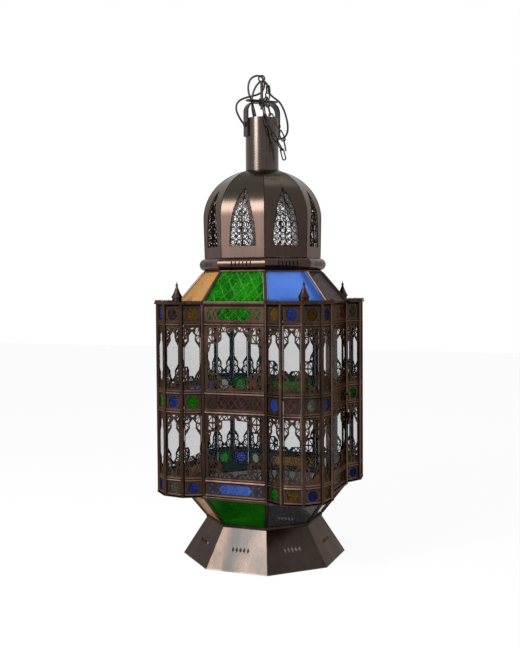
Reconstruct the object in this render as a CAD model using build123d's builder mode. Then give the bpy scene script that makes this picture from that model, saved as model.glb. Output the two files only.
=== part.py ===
from build123d import *
import math
import os

os.makedirs("parts", exist_ok=True)

# Plan: an octagonal cabin whose four diagonal sides carry half-decagon bays
side_count = 8
nut_sides = 6
face_turn = 360 / side_count
cabin_apothem = 160.0
facet_count = 5
facet_turn = 180 / facet_count
side_slope = math.tan(math.radians(face_turn / 2))
corner_cos = math.cos(math.radians(face_turn / 2))
facet_cos = math.cos(math.radians(facet_turn / 2))
facet_sin = math.sin(math.radians(facet_turn / 2))
cabin_corner = cabin_apothem / corner_cos
cabin_side = 2 * cabin_apothem * side_slope
bay_radius = cabin_side / 2
bay_apothem = bay_radius * facet_cos
facet_width = 2 * bay_radius * facet_sin
door_turn = 90
fixed_turns = [0, 180, 270]
bay_turns = [45, 135, 225, 315]
all_turns = [face_turn * k for k in range(side_count)]
facet_steps = range(-(facet_count // 2), facet_count // 2 + 1)

# Rises of the stack, from the floor up
skirt_rise = 76.4
waist_rise = 5.0
cone_rise = 60.0
sill_rise = 5.0
bottom_band = 33.0
window_rise = 134.6
middle_band = 37.2
top_band = 38.0
eave_rise = 5.0
roof_rise = 58.7
crown_rise = 2.5
cone_low = skirt_rise + waist_rise
sill_low = cone_low + cone_rise
cabin_low = sill_low + sill_rise
level_1 = cabin_low + bottom_band
level_2 = level_1 + window_rise
level_3 = level_2 + middle_band
level_4 = level_3 + window_rise
cabin_top = level_4 + top_band
roof_low = cabin_top + eave_rise
crown_low = roof_low + roof_rise
crown_top = crown_low + crown_rise
cabin_rise = cabin_top - cabin_low

# Clearances
seat_gap = 0.05
fit_gap = 0.1
run_gap = 0.3
overrun = 60.0

# Sheets, glass and bars
sheet = 1.2
glass = 2.2
pane_glass = 2.6
post_apothem = 3.5
rail_rise = 9.3
rail_valley = 0.7
rail_crest = 2.3
hip_radius = 3.4
ring_lip = 3.5
ring_width = 11.5

# Base skirt
skirt_apothem = 157.0
waist_apothem = 111.0
skirt_sheet = 1.6
hem_width = 12.0
hem_sheet = 2.0
waist_lip = 2.0
waist_width = 9.0
skirt_row_count = 5
skirt_row_pitch = 8.0
skirt_lozenge_width = 5.4
skirt_lozenge_rise = 11.0

# Roof and dome
roof_inset = 2.0
roof_top_apothem = 112.0
crown_lip = 2.0
crown_width = 17.0
ring_radius = 12.7
ring_sheet = 1.2
ring_inset = 3.5
ring_slot_count = 6
ring_slot_pitch = 8.0
ring_slot_width = 2.6
ring_slot_rise = 9.0
gore_sheet = 1.2
gore_inset = 1.0
gore_bulge = 1.6
gore_wall_rise = 81.5
gore_arc = 101.0
lace_rise = 118.0
lace_sill = 22.0
lace_width = 57.0
lace_rows = 8
lace_pitch = 12.0
lace_hole_share = 0.66
lace_power = 2.3

# Neck and hanging gear
neck_radius = 34.1
neck_wall = 1.4
neck_rise = 107.5
neck_sink = 10.5
strap_turn = 135
strap_sheet = 3.0
strap_width = 20.0
strap_leg_drop = 37.0
strap_crown_rise = 35.0
strap_bend = 22.0
bolt_drop = 13.0
bolt_radius = 2.5
bolt_head_radius = 5.0
bolt_head = 3.6
nut_rise = 4.0
spreader_length = 68.0
spreader_width = 16.0
spreader_sheet = 3.0
eye_shank_radius = 3.0
eye_ring_radius = 6.2
eye_wire_radius = 1.6
eye_rise = 45.0
eye_tail = 12.0
eye_nut_radius = 5.8
eye_nut_rise = 4.5

# Chain
link_wire_radius = 1.4
link_length = 26.0
link_width = 10.0
link_play = 0.4
ring_link_width = 20.0
strand_gap = 5.0
chain_upper_count = 3

# Supply flex, bundled about the neck
flex_radius = 2.1
lay_turn = 20.98
loop_length = 40.0

# Lamp
bracket_width = 14.0
bracket_sheet = 3.0
bracket_rise = 34.5
pipe_radius = 5.0
pipe_bore = 3.2
pipe_above = 8.0
pipe_below = 78.0
pipe_nut_radius = 8.0
pipe_nut_rise = 5.0
holder_radius = 19.5
holder_rise = 52.0
socket_depth = 32.0
cap_radius = 13.2
cap_rise = 28.0
bulb_radius = 30.0
bulb_rise = 95.0
bulb_neck_radius = 13.0

# Door
door_frame_width = 8.0
door_frame_sheet = 2.4
door_edge_inset = 2.0
knuckle_radius = 2.9
knuckle_rise = 6.0
pin_radius = 1.5
pin_head_radius = 2.4
pin_head = 1.2
leaf_sheet = 1.2
leaf_reach = 12.0
knob_radius = 5.0
knob_rise = 14.0
knob_inset = 11.0
strike_width = 5.0
strike_rise = 12.0
button_length = 20.0
button_half = 3.4
button_sheet = 1.6
button_drop = 26.0
stud_radius = 1.6
stud_head_radius = 3.0
stud_head = 1.0

# Caps, crests and finials
floor_sheet = 1.6
cap_sheet = 3.0
floor_overhang = 4.4
cap_overhang = 6.8
crest_sheet = 1.0
crest_rise = 5.0
crest_teeth = 9
crest_root_share = 0.45
finial_radius = 11.0
finial_rise = 41.0
finial_reach = 28.9

post_gap = post_apothem / corner_cos + run_gap
main_width = cabin_side - 2 * post_gap
facet_panel = facet_width - 2 * post_gap
roof_apothem = cabin_apothem - roof_inset
ring_apothem = roof_top_apothem - ring_inset
gore_foot_apothem = roof_top_apothem - gore_inset
gore_apothem = gore_foot_apothem + gore_bulge
ring_centre = crown_top + seat_gap + ring_radius
gore_low = ring_centre + ring_radius + seat_gap
gore_shoulder = gore_low + gore_wall_rise
gore_centre = gore_apothem - gore_arc
dome_top = gore_shoulder + math.sqrt(gore_arc**2 - (neck_radius - gore_centre) ** 2)
neck_low = dome_top - neck_sink
neck_top = dome_top + neck_rise
strap_inner = neck_radius + fit_gap
strap_outer = strap_inner + strap_sheet
strap_low = neck_top - strap_leg_drop
strap_crown = neck_top + strap_crown_rise
bolt_height = neck_top - bolt_drop
spreader_low = strap_crown + seat_gap
spreader_top = spreader_low + spreader_sheet
eye_height = spreader_top + eye_rise
bracket_low = neck_low + bracket_rise
pipe_top = bracket_low + bracket_sheet + pipe_above
pipe_low = bracket_low - pipe_below
holder_low = pipe_low - holder_rise


def spin(turn):
    """Place that turns a piece about the lantern's axis."""
    return Location((0, 0, 0), (0, 0, turn))


def facet_place(bay_turn, step):
    """Place of one facet of a bay, for a piece that faces the front about the bay's own centre."""
    return spin(bay_turn) * Location((0, -cabin_apothem, 0)) * spin(step * facet_turn)


def front_plane(apothem, height):
    """Plane that faces the front, x to the right and y up."""
    return Plane(origin=(0, -apothem, height), x_dir=(1, 0, 0), z_dir=(0, -1, 0))


def placed(piece, places):
    """Copies of one piece at each place."""
    return [solid.moved(place) for place in places for solid in piece.solids()]


def write_node(name, pieces):
    """Write the pieces of one node to its own file."""
    node = Compound(pieces)
    node.label = name
    export_step(node, f"parts/{name}.step", write_pcurves=False)


fixed_places = [spin(turn) for turn in fixed_turns]
door_place = [spin(door_turn)]
ring_places = [spin(turn) for turn in all_turns]
bay_places = [spin(turn) for turn in bay_turns]
facet_places = [facet_place(turn, step) for turn in bay_turns for step in facet_steps]


# Rings of mitred bars


def ring_bar(outer, width, low, rise):
    """One mitred bar of an octagonal ring, on the front side."""
    inner = outer - width
    with BuildPart() as bar:
        with BuildSketch(Plane.XY.offset(low)):
            Polygon(
                (-outer * side_slope + seat_gap, -outer),
                (outer * side_slope - seat_gap, -outer),
                (inner * side_slope - seat_gap, -inner),
                (-inner * side_slope + seat_gap, -inner),
                align=None,
            )
        extrude(amount=rise)
    return bar.part


skirt_slope = (skirt_apothem - waist_apothem) / skirt_rise
skirt_wall = skirt_sheet * math.sqrt(1 + skirt_slope**2)
hem_apothem = skirt_apothem - skirt_wall - skirt_slope * hem_sheet - fit_gap
cabin_lip = cabin_apothem + ring_lip
write_node("base_hem", placed(ring_bar(hem_apothem, hem_width, 0, hem_sheet), ring_places))
waist_bar = ring_bar(waist_apothem + waist_lip, waist_width, skirt_rise, waist_rise)
write_node("waist_ring", placed(waist_bar, ring_places))
write_node("sill_ring", placed(ring_bar(cabin_lip, ring_width, sill_low, sill_rise), ring_places))
write_node("eave_ring", placed(ring_bar(cabin_lip, ring_width, cabin_top, eave_rise), ring_places))
crown_bar = ring_bar(roof_top_apothem + crown_lip, crown_width, crown_low, crown_rise)
write_node("crown_ring", placed(crown_bar, ring_places))


# Sloped panels and panes


def sloped_plate(low_apothem, low, high_apothem, high, thickness, side_gap):
    """Mitred plate of a cone's front side, level at its lower and upper edges."""
    lean = low_apothem - high_apothem
    rise = high - low
    slant = math.hypot(lean, rise)
    wall = thickness * slant / rise
    normal = Vector(0, -rise, lean).normalized()
    outer_plane = Plane(origin=(0, -low_apothem, low), x_dir=(1, 0, 0), z_dir=normal)
    inner_plane = Plane(origin=(0, -low_apothem + wall, low), x_dir=(1, 0, 0), z_dir=normal)
    with BuildPart() as plate:
        for plane, step in ((outer_plane, 0), (inner_plane, wall)):
            low_half = (low_apothem - step) * side_slope - side_gap / corner_cos
            high_half = (high_apothem - step) * side_slope - side_gap / corner_cos
            with BuildSketch(plane):
                Polygon((-low_half, 0), (low_half, 0), (high_half, slant), (-high_half, slant), align=None)
        loft(ruled=True)
    return plate.part


def hip_bar(low_apothem, low, high_apothem, high):
    """Bar along the corner between two sloped panes, cut level at both ends."""
    foot = Vector(0, -low_apothem / corner_cos, low)
    head = Vector(0, -high_apothem / corner_cos, high)
    way = (head - foot).normalized()
    start = foot - way * overrun
    with BuildPart() as bar:
        with BuildSketch(Plane(origin=start, x_dir=(1, 0, 0), z_dir=way)):
            RegularPolygon(hip_radius, side_count)
        extrude(amount=(head - foot).length + 2 * overrun)
        split(bisect_by=Plane.XY.offset(low + seat_gap), keep=Keep.TOP)
        split(bisect_by=Plane.XY.offset(high - seat_gap), keep=Keep.BOTTOM)
    return bar.part


corner_places = [spin(turn + face_turn / 2) for turn in all_turns]
pane_gap = hip_radius + run_gap
skirt_slant = math.hypot(skirt_apothem - waist_apothem, skirt_rise)
skirt_normal = Vector(0, -skirt_rise, skirt_apothem - waist_apothem).normalized()
with BuildPart() as skirt_panel:
    add(sloped_plate(skirt_apothem, 0, waist_apothem, skirt_rise, skirt_sheet, seat_gap))
    with BuildSketch(Plane(origin=(0, -skirt_apothem, 0), x_dir=(1, 0, 0), z_dir=skirt_normal)):
        with Locations((0, skirt_slant / 2)):
            with GridLocations(skirt_row_pitch, 0, skirt_row_count, 1):
                Polygon(
                    (-skirt_lozenge_width / 2, 0),
                    (0, -skirt_lozenge_rise / 2),
                    (skirt_lozenge_width / 2, 0),
                    (0, skirt_lozenge_rise / 2),
                    align=None,
                )
    extrude(amount=skirt_wall * 2, both=True, mode=Mode.SUBTRACT)
write_node("base_panels", placed(skirt_panel.part, ring_places))

cone_low_apothem = waist_apothem
cone_top_apothem = cabin_apothem - ring_lip
cone_hip = hip_bar(cone_low_apothem, cone_low, cone_top_apothem, sill_low)
write_node("cone_hips", placed(cone_hip, corner_places))
roof_hip = hip_bar(roof_apothem, roof_low, roof_top_apothem, crown_low)
write_node("roof_hips", placed(roof_hip, corner_places))

cone_pane = sloped_plate(
    cone_low_apothem, cone_low + seat_gap, cone_top_apothem, sill_low - seat_gap, pane_glass, pane_gap
)
roof_pane = sloped_plate(
    roof_apothem, roof_low + seat_gap, roof_top_apothem, crown_low - seat_gap, pane_glass, pane_gap
)
cone_colours = ["green", "clear", "clear", "amber", "clear", "clear", "green", "amber"]
roof_colours = ["green", "blue", "rose", "amber", "clear", "clear", "rose", "amber"]
for colour in ("green", "blue", "amber", "rose", "clear"):
    cone_turns = [spin(turn) for turn, hue in zip(all_turns, cone_colours) if hue == colour]
    roof_turns = [spin(turn) for turn, hue in zip(all_turns, roof_colours) if hue == colour]
    write_node(f"sloped_panes_{colour}", placed(cone_pane, cone_turns) + placed(roof_pane, roof_turns))


# Posts, bay floors and bay caps


def bay_point(angle, radius):
    """Point of a front bay, by its angle from the bay's middle."""
    a = math.radians(angle)
    return (radius * math.sin(a), -cabin_apothem - radius * math.cos(a))


def bay_outline(overhang):
    """Outline of a front bay, kept outside the lip of the cabin's rings."""
    radius = bay_radius + overhang / facet_cos
    step_out = ring_lip + fit_gap
    first = facet_turn / 2
    second = first + facet_turn
    root = bay_point(second + facet_turn, radius)
    knee = bay_point(second, radius)
    share = step_out / (radius * math.cos(math.radians(second)))
    root_x = root[0] + (knee[0] - root[0]) * share
    right = [bay_point(first, radius), knee, (root_x, -cabin_apothem - step_out)]
    left = [(-x, y) for x, y in reversed(right)]
    return left + right


def bay_plate(overhang, low, thickness):
    """Flat plate that closes a front bay."""
    with BuildPart() as plate:
        with BuildSketch(Plane.XY.offset(low)):
            Polygon(*bay_outline(overhang), align=None)
        extrude(amount=thickness)
    return plate.part


with BuildPart() as core_posts:
    with BuildSketch(Plane.XY.offset(cabin_low)):
        with PolarLocations(cabin_corner, side_count, start_angle=face_turn / 2, rotate=False):
            RegularPolygon(post_apothem, side_count, major_radius=False, rotation=face_turn / 2)
    extrude(amount=cabin_rise)
write_node("core_posts", core_posts.part.solids())

facet_angles = [facet_turn * (step + 1 / 2) for step in facet_steps][:-1]
with BuildPart() as bay_post_set:
    with BuildSketch(Plane.XY.offset(cabin_low)):
        with Locations(*[bay_point(angle, bay_radius) for angle in facet_angles]):
            RegularPolygon(post_apothem, side_count, major_radius=False)
    extrude(amount=cabin_rise)
write_node("bay_posts", placed(bay_post_set.part, bay_places))

write_node("bay_floors", placed(bay_plate(floor_overhang, cabin_low - floor_sheet, floor_sheet), bay_places))
bay_cap = bay_plate(cap_overhang, cabin_top, cap_sheet)
write_node("bay_caps", placed(bay_cap, bay_places))

cap_top = cabin_top + cap_sheet
crest_apothem = bay_apothem + cap_overhang - crest_sheet
crest_half = crest_apothem * facet_sin / facet_cos - crest_sheet
crest_pitch = 2 * crest_half / crest_teeth
crest_root = crest_rise * crest_root_share
crest_line = [(-crest_half, 0), (crest_half, 0)]
for tooth in range(crest_teeth):
    right_edge = crest_half - tooth * crest_pitch
    crest_line += [(right_edge, crest_root), (right_edge - crest_pitch / 2, crest_rise)]
crest_line.append((-crest_half, crest_root))
with BuildPart() as crest:
    with BuildSketch(front_plane(crest_apothem, cap_top)):
        Polygon(*crest_line, align=None)
    extrude(amount=-crest_sheet)
write_node("bay_crests", placed(crest.part, facet_places))

finial_shares = [
    (0.0, 0.0), (1.0, 0.0), (1.0, 0.05), (0.84, 0.08), (0.84, 0.2), (1.0, 0.23), (1.0, 0.27),
    (0.62, 0.46), (0.32, 0.66), (0.16, 0.79), (0.24, 0.82), (0.24, 0.87), (0.1, 0.9), (0.07, 1.0), (0.0, 1.0),
]
with BuildPart() as finial:
    with BuildSketch(Plane.XZ):
        Polygon(*[(finial_radius * r, finial_rise * z) for r, z in finial_shares], align=None)
    revolve(axis=Axis.Z)
finial_place = Location((0, -cabin_apothem - finial_reach, cap_top))
write_node("finials", placed(finial.part, [place * finial_place for place in bay_places]))


# Rails, pierced plates and panes of the cabin walls


def rail(apothem, length, height, lower_half, upper_half):
    """Double-ridged strip on a wall, or one ridge of it, centred on a level."""
    ridge = rail_rise / 2
    low = height - (ridge if lower_half else 0)
    profile = [(0, 0)]
    rise = 0
    for half in (lower_half, upper_half):
        if half:
            profile += [(rail_crest, rise + ridge / 2), (rail_valley, rise + ridge)]
            rise += ridge
    profile[-1] = (0, rise)
    plane = Plane(origin=(length / 2, -apothem, low), x_dir=(0, -1, 0), z_dir=(-1, 0, 0))
    with BuildPart() as strip:
        with BuildSketch(plane):
            Polygon(*profile, align=None)
        extrude(amount=length)
    return strip.part


def rails(apothem, length, edge_gap):
    """All rails of one wall, clear of the rings below and above it."""
    strips = [rail(apothem, length, cabin_low + edge_gap, False, True)]
    strips += [rail(apothem, length, level, True, True) for level in (level_1, level_2, level_3, level_4)]
    strips.append(rail(apothem, length, cabin_top - edge_gap, True, False))
    return Compound(strips)


def shrunk(outline):
    """Hole inside one mesh of the lace, which leaves bars round it."""
    middle_x = sum(x for x, y in outline) / len(outline)
    middle_y = sum(y for x, y in outline) / len(outline)
    return [
        (middle_x + (x - middle_x) * lace_hole_share, middle_y + (y - middle_y) * lace_hole_share)
        for x, y in outline
    ]


def zigzag(outer, inner):
    """Triangles of a lattice between two rows of points."""
    meshes = []
    for k in range(len(outer) - 1):
        meshes.append([outer[k], outer[k + 1], inner[k]])
        meshes.append([outer[k + 1], inner[k + 1], inner[k]])
    return meshes


def four_ways(outlines):
    """Outlines of one quarter, mirrored to all four."""
    return [[(x * i, y * j) for x, y in outline] for outline in outlines for i in (1, -1) for j in (1, -1)]


def ring_outline(quarter):
    """Closed outline from the quarter that runs from the top to the right side."""
    right = quarter + [(x, -y) for x, y in reversed(quarter)]
    return right + [(-x, y) for x, y in reversed(right) if x > 0]


def pierced_plate(apothem, width, low, high, holes):
    """Flat plate of a wall, with holes given as shares of its half width and half height."""
    rise = high - low - 2 * run_gap
    with BuildPart() as plate:
        with BuildSketch(front_plane(apothem, (low + high) / 2)):
            Rectangle(width, rise)
            for hole in holes:
                Polygon(*[(x * width / 2, y * rise / 2) for x, y in hole], align=None, mode=Mode.SUBTRACT)
        extrude(amount=-sheet)
    return plate.part


def pane(apothem, width, low, high):
    """Flat glass behind a plate of a wall."""
    with BuildPart() as sheet_of_glass:
        with BuildSketch(front_plane(apothem - sheet - fit_gap, (low + high) / 2)):
            Rectangle(width - 2 * run_gap, high - low - 2 * run_gap)
        extrude(amount=-glass)
    return sheet_of_glass.part


# Bay windows: a tall opening with a pointed neck at both ends and a fan of triangles in each corner
bay_opening_shares = ring_outline([(0.0, 0.777), (0.37, 0.658), (0.33, 0.51), (0.88, 0.3)])
bay_fan_outer_shares = [(0.5, 0.9), (0.92, 0.9), (0.92, 0.66), (0.92, 0.42)]
bay_fan_inner_shares = [(0.3, 0.75), (0.48, 0.64), (0.44, 0.52), (0.6, 0.46)]
bay_tip_shares = [[(-0.42, 0.9), (0.42, 0.9), (0.0, 0.82)], [(-0.42, -0.9), (0.0, -0.82), (0.42, -0.9)]]
bay_fan = zigzag(bay_fan_outer_shares, bay_fan_inner_shares)[:5]
bay_window_holes = [bay_opening_shares]
bay_window_holes += [shrunk(mesh) for mesh in four_ways(bay_fan) + bay_tip_shares]

# Main windows: a rosette in each corner, rows of triangles along the edges and a pointed head
main_opening_shares = ring_outline([
    (0.0, 0.88), (0.1, 0.77), (0.42, 0.755), (0.42, 0.55), (0.55, 0.43), (0.79, 0.42), (0.84, 0.22), (0.92, 0.1)
])
rosette_x_shares = (0.91, 0.74, 0.57)
rosette_y_shares = (0.91, 0.68, 0.45)
near_x, mid_x, far_x = rosette_x_shares
high_y, mid_y, low_y = rosette_y_shares
rosette_core = (mid_x, mid_y)
rosette_points = [(near_x, mid_y), (mid_x, high_y), (far_x, mid_y), (mid_x, low_y)]
rosette_corners = [(near_x, high_y), (far_x, high_y), (far_x, low_y), (near_x, low_y)]
rosette = []
for k in range(4):
    rosette.append([rosette_core, rosette_points[k - 1], rosette_points[k]])
    rosette.append([rosette_corners[k - 1], rosette_points[k - 1], rosette_points[k]])
head_outer_shares = [(0.56, 0.92), (0.42, 0.92), (0.26, 0.92), (0.1, 0.92)]
head_inner_shares = [(0.52, 0.74), (0.36, 0.785), (0.2, 0.785), (0.1, 0.81)]
side_row_shares = [[(0.92, 0.4), (0.81, 0.39), (0.92, 0.24)], [(0.56, 0.66), (0.45, 0.74), (0.45, 0.58)]]
main_meshes = rosette + zigzag(head_outer_shares, head_inner_shares)[:5] + side_row_shares
main_window_holes = [main_opening_shares] + [shrunk(mesh) for mesh in four_ways(main_meshes)]

# Band plates: a long pointed opening with crossed lattice at its ends, or an octagon with corner holes
band_opening_shares = [(-0.46, 0.6), (0.46, 0.6), (0.59, 0), (0.46, -0.6), (-0.46, -0.6), (-0.59, 0)]
band_mesh_shares = [
    [(0.49, 0.6), (0.66, 0.6), (0.61, 0.08)],
    [(0.68, 0.62), (0.91, 0.62), (0.77, 0.05)],
]
band_end_shares = [
    [(0.91, 0.5), (0.91, -0.5), (0.77, 0.0)],
    [(0.63, 0.0), (0.7, 0.42), (0.7, -0.42)],
]
main_band_holes = [band_opening_shares] + [shrunk(mesh) for mesh in four_ways(band_mesh_shares)]
main_band_holes += [shrunk([(x * i, y) for x, y in mesh]) for mesh in band_end_shares for i in (1, -1)]
eye_long_share = 0.62
eye_short_share = 0.27
eye_quarter = [(eye_short_share, eye_long_share), (eye_long_share, eye_short_share)]
eye_corner_shares = [[(0.84, 0.66), (0.6, 0.66), (0.84, 0.46)]]
bay_band_holes = [ring_outline(eye_quarter)] + four_ways(eye_corner_shares)

spans = {
    "bottom": (cabin_low, level_1),
    "lower": (level_1, level_2),
    "middle": (level_2, level_3),
    "upper": (level_3, level_4),
    "top": (level_4, cabin_top),
}
band_names = ("bottom", "middle", "top")
window_names = ("lower", "upper")
main_rails = rails(cabin_apothem, main_width, seat_gap)
bay_rails = rails(bay_apothem, facet_panel, seat_gap)
main_plates = [pierced_plate(cabin_apothem, main_width, *spans[n], main_band_holes) for n in band_names]
main_screens = [pierced_plate(cabin_apothem, main_width, *spans[n], main_window_holes) for n in window_names]
main_panes = {n: pane(cabin_apothem, main_width, *spans[n]) for n in spans}
bay_plates = [pierced_plate(bay_apothem, facet_panel, *spans[n], bay_band_holes) for n in band_names]
bay_screens = [pierced_plate(bay_apothem, facet_panel, *spans[n], bay_window_holes) for n in window_names]
bay_panes = {n: pane(bay_apothem, facet_panel, *spans[n]) for n in spans}

write_node("main_rails", placed(main_rails, fixed_places))
write_node("bay_rails", placed(bay_rails, facet_places))
write_node("main_band_plates", [s for plate in main_plates for s in placed(plate, fixed_places)])
write_node("bay_band_plates", [s for plate in bay_plates for s in placed(plate, facet_places)])
write_node("main_screens", [s for screen in main_screens for s in placed(screen, fixed_places)])
write_node("bay_screens", [s for screen in bay_screens for s in placed(screen, facet_places)])
write_node("main_panes", [s for n in window_names for s in placed(main_panes[n], fixed_places)])
write_node("bay_panes", [s for n in window_names for s in placed(bay_panes[n], facet_places)])

# Colours of the band glass: each fixed wall, then each bay from left to right
wall_colours = {
    "bottom": ["blue", "amber", "amber"],
    "middle": ["violet", "green", "blue"],
    "top": ["green", "amber", "blue"],
}
bay_colours = {
    "bottom": [
        "green", "amber", "blue", "amber", "green", "blue", "green", "amber", "violet", "clear",
        "clear", "blue", "green", "violet", "amber", "green", "amber", "blue", "clear", "blue",
    ],
    "middle": [
        "blue", "violet", "clear", "blue", "green", "green", "amber", "blue", "clear", "violet",
        "amber", "green", "clear", "blue", "violet", "amber", "violet", "green", "blue", "green",
    ],
    "top": [
        "amber", "blue", "amber", "blue", "green", "clear", "blue", "green", "amber", "blue",
        "blue", "amber", "violet", "green", "clear", "green", "amber", "blue", "violet", "amber",
    ],
}
for colour in ("green", "blue", "amber", "violet", "clear"):
    pieces = []
    for n in band_names:
        walls = [place for place, hue in zip(fixed_places, wall_colours[n]) if hue == colour]
        facets = [place for place, hue in zip(facet_places, bay_colours[n]) if hue == colour]
        pieces += placed(main_panes[n], walls) + placed(bay_panes[n], facets)
    write_node(f"band_glass_{colour}", pieces)


# Ring and gores of the dome


def miter_planes():
    """Planes through the axis that bound the front eighth, facing inwards."""
    half = math.radians(face_turn / 2)
    inward = [Vector(-side * math.cos(half), -math.sin(half), 0) for side in (1, -1)]
    return [Plane(origin=way * seat_gap, z_dir=way) for way in inward]


def section_plane(offset):
    """Upright plane along the front's middle, x outwards and y up."""
    return Plane(origin=(offset, 0, 0), x_dir=(0, -1, 0), z_dir=(-1, 0, 0))


ring_half = (ring_apothem + ring_radius) * side_slope
with BuildPart() as ring_segment:
    with BuildSketch(section_plane(ring_half)):
        with Locations((ring_apothem, ring_centre)):
            Circle(ring_radius)
            Circle(ring_radius - ring_sheet, mode=Mode.SUBTRACT)
    extrude(amount=2 * ring_half)
    with BuildSketch(front_plane(ring_apothem, ring_centre)):
        with GridLocations(ring_slot_pitch, 0, ring_slot_count, 1):
            Rectangle(ring_slot_width, ring_slot_rise)
    extrude(amount=2 * ring_radius, mode=Mode.SUBTRACT)
    for miter in miter_planes():
        split(bisect_by=miter, keep=Keep.TOP)
write_node("dome_ring", placed(ring_segment.part, ring_places))


def lace_half(share):
    """Half width of the pierced window at a share of its height, drawn to a point like a cypress."""
    return lace_width / 2 * (1 - share**lace_power)


def gore_holes():
    """Lozenges of the pierced window, in offset rows about the gore's middle."""
    row_rise = lace_rise / lace_rows
    holes = []
    for row in range(lace_rows):
        share = (row + 1 / 2) / lace_rows
        count = max(1, round(2 * lace_half(share) / lace_pitch))
        middle = gore_low + lace_sill + share * lace_rise
        for k in range(count):
            x = (k - (count - 1) / 2) * lace_pitch
            half_x = lace_pitch * lace_hole_share / 2
            half_y = row_rise * lace_hole_share / 2
            left, right = x - half_x, x + half_x
            holes.append([(left, middle), (x, middle - half_y), (right, middle), (x, middle + half_y)])
    return holes


gore_half = gore_apothem * side_slope
gore_end = math.degrees(math.acos((neck_radius / 2 - gore_centre) / gore_arc))
with BuildPart() as gore:
    with BuildSketch(section_plane(gore_half)):
        with BuildLine():
            Line((gore_foot_apothem, gore_low), (gore_apothem, gore_shoulder))
            outer_arc = CenterArc((gore_centre, gore_shoulder), gore_arc, 0, gore_end)
            inner_arc = CenterArc((gore_centre, gore_shoulder), gore_arc - gore_sheet, 0, gore_end)
            Line(outer_arc @ 1, inner_arc @ 1)
            Line(inner_arc @ 0, (gore_foot_apothem - gore_sheet, gore_low))
            Line((gore_foot_apothem - gore_sheet, gore_low), (gore_foot_apothem, gore_low))
        make_face()
    extrude(amount=2 * gore_half)
    with BuildSketch(Plane.XY.offset(neck_low)):
        Circle(neck_radius + fit_gap)
    extrude(amount=neck_rise, mode=Mode.SUBTRACT)
    for miter in miter_planes():
        split(bisect_by=miter, keep=Keep.TOP)
    with BuildSketch(front_plane(0, 0)):
        for hole in gore_holes():
            Polygon(*hole, align=None)
    extrude(amount=gore_apothem + overrun, mode=Mode.SUBTRACT)
write_node("dome_gores", placed(gore.part, ring_places))


# Neck tube and the strap that hangs it, built across the front and then turned

strap_place = [spin(strap_turn)]
bolt_hole = bolt_radius + fit_gap
with BuildPart() as neck_tube:
    with BuildSketch(Plane.XY.offset(neck_low)):
        Circle(neck_radius)
        Circle(neck_radius - neck_wall, mode=Mode.SUBTRACT)
    extrude(amount=neck_top - neck_low)
    with BuildSketch(Plane.XZ):
        with Locations((0, bolt_height)):
            Circle(bolt_hole)
    extrude(amount=overrun, both=True, mode=Mode.SUBTRACT)
write_node("neck_tube", placed(neck_tube.part, strap_place))

with BuildPart() as strap:
    for half, top, bend, mode in (
        (strap_outer, strap_crown, strap_bend, Mode.ADD),
        (strap_inner, strap_crown - strap_sheet, strap_bend - strap_sheet, Mode.SUBTRACT),
    ):
        with BuildSketch(section_plane(0)) as arch:
            with Locations((0, (strap_low + top) / 2)):
                Rectangle(2 * half, top - strap_low)
            fillet(arch.vertices().group_by(Axis.Y)[-1], bend)
        extrude(amount=strap_width / 2, both=True, mode=mode)
    with BuildSketch(Plane.XZ):
        with Locations((0, bolt_height)):
            Circle(bolt_hole)
    extrude(amount=overrun, both=True, mode=Mode.SUBTRACT)
    with BuildSketch(Plane.XY.offset(strap_crown)):
        Circle(eye_shank_radius + fit_gap)
    extrude(amount=-strap_sheet, mode=Mode.SUBTRACT)
write_node("hanger_strap", placed(strap.part, strap_place))

nut_seat = math.sqrt((neck_radius - neck_wall) ** 2 - bolt_head_radius**2) - fit_gap
bolt_seat = strap_outer + seat_gap
with BuildPart() as strap_bolt:
    with BuildSketch(front_plane(bolt_seat, bolt_height)):
        RegularPolygon(bolt_head_radius, nut_sides)
    extrude(amount=bolt_head)
    with BuildSketch(front_plane(bolt_seat, bolt_height)):
        Circle(bolt_radius)
    extrude(amount=nut_seat - nut_rise - bolt_radius - bolt_seat)
bolt_places = [spin(strap_turn), spin(strap_turn + 180)]
write_node("strap_bolts", placed(strap_bolt.part, bolt_places))


def hex_nut(plane, radius, bore, rise):
    """Six-sided nut that stands on a plane."""
    with BuildPart() as nut:
        with BuildSketch(plane):
            RegularPolygon(radius, nut_sides)
            Circle(bore, mode=Mode.SUBTRACT)
        extrude(amount=rise)
    return nut.part


eye_bore = eye_shank_radius + seat_gap
pipe_nut_bore = pipe_radius + seat_gap
strap_nut = hex_nut(front_plane(nut_seat, bolt_height), bolt_head_radius, bolt_radius + seat_gap, -nut_rise)
eye_nuts = [
    hex_nut(Plane.XY.offset(spreader_top + seat_gap), eye_nut_radius, eye_bore, eye_nut_rise),
    hex_nut(Plane.XY.offset(strap_crown - strap_sheet - seat_gap), eye_nut_radius, eye_bore, -eye_nut_rise),
]
pipe_nuts = [
    hex_nut(
        Plane.XY.offset(bracket_low + bracket_sheet + seat_gap), pipe_nut_radius, pipe_nut_bore, pipe_nut_rise
    ),
    hex_nut(Plane.XY.offset(bracket_low - seat_gap), pipe_nut_radius, pipe_nut_bore, -pipe_nut_rise),
]
lock_nuts = placed(strap_nut, bolt_places)
lock_nuts += [s for nut in eye_nuts + pipe_nuts for s in placed(nut, strap_place)]
write_node("lock_nuts", lock_nuts)

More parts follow.
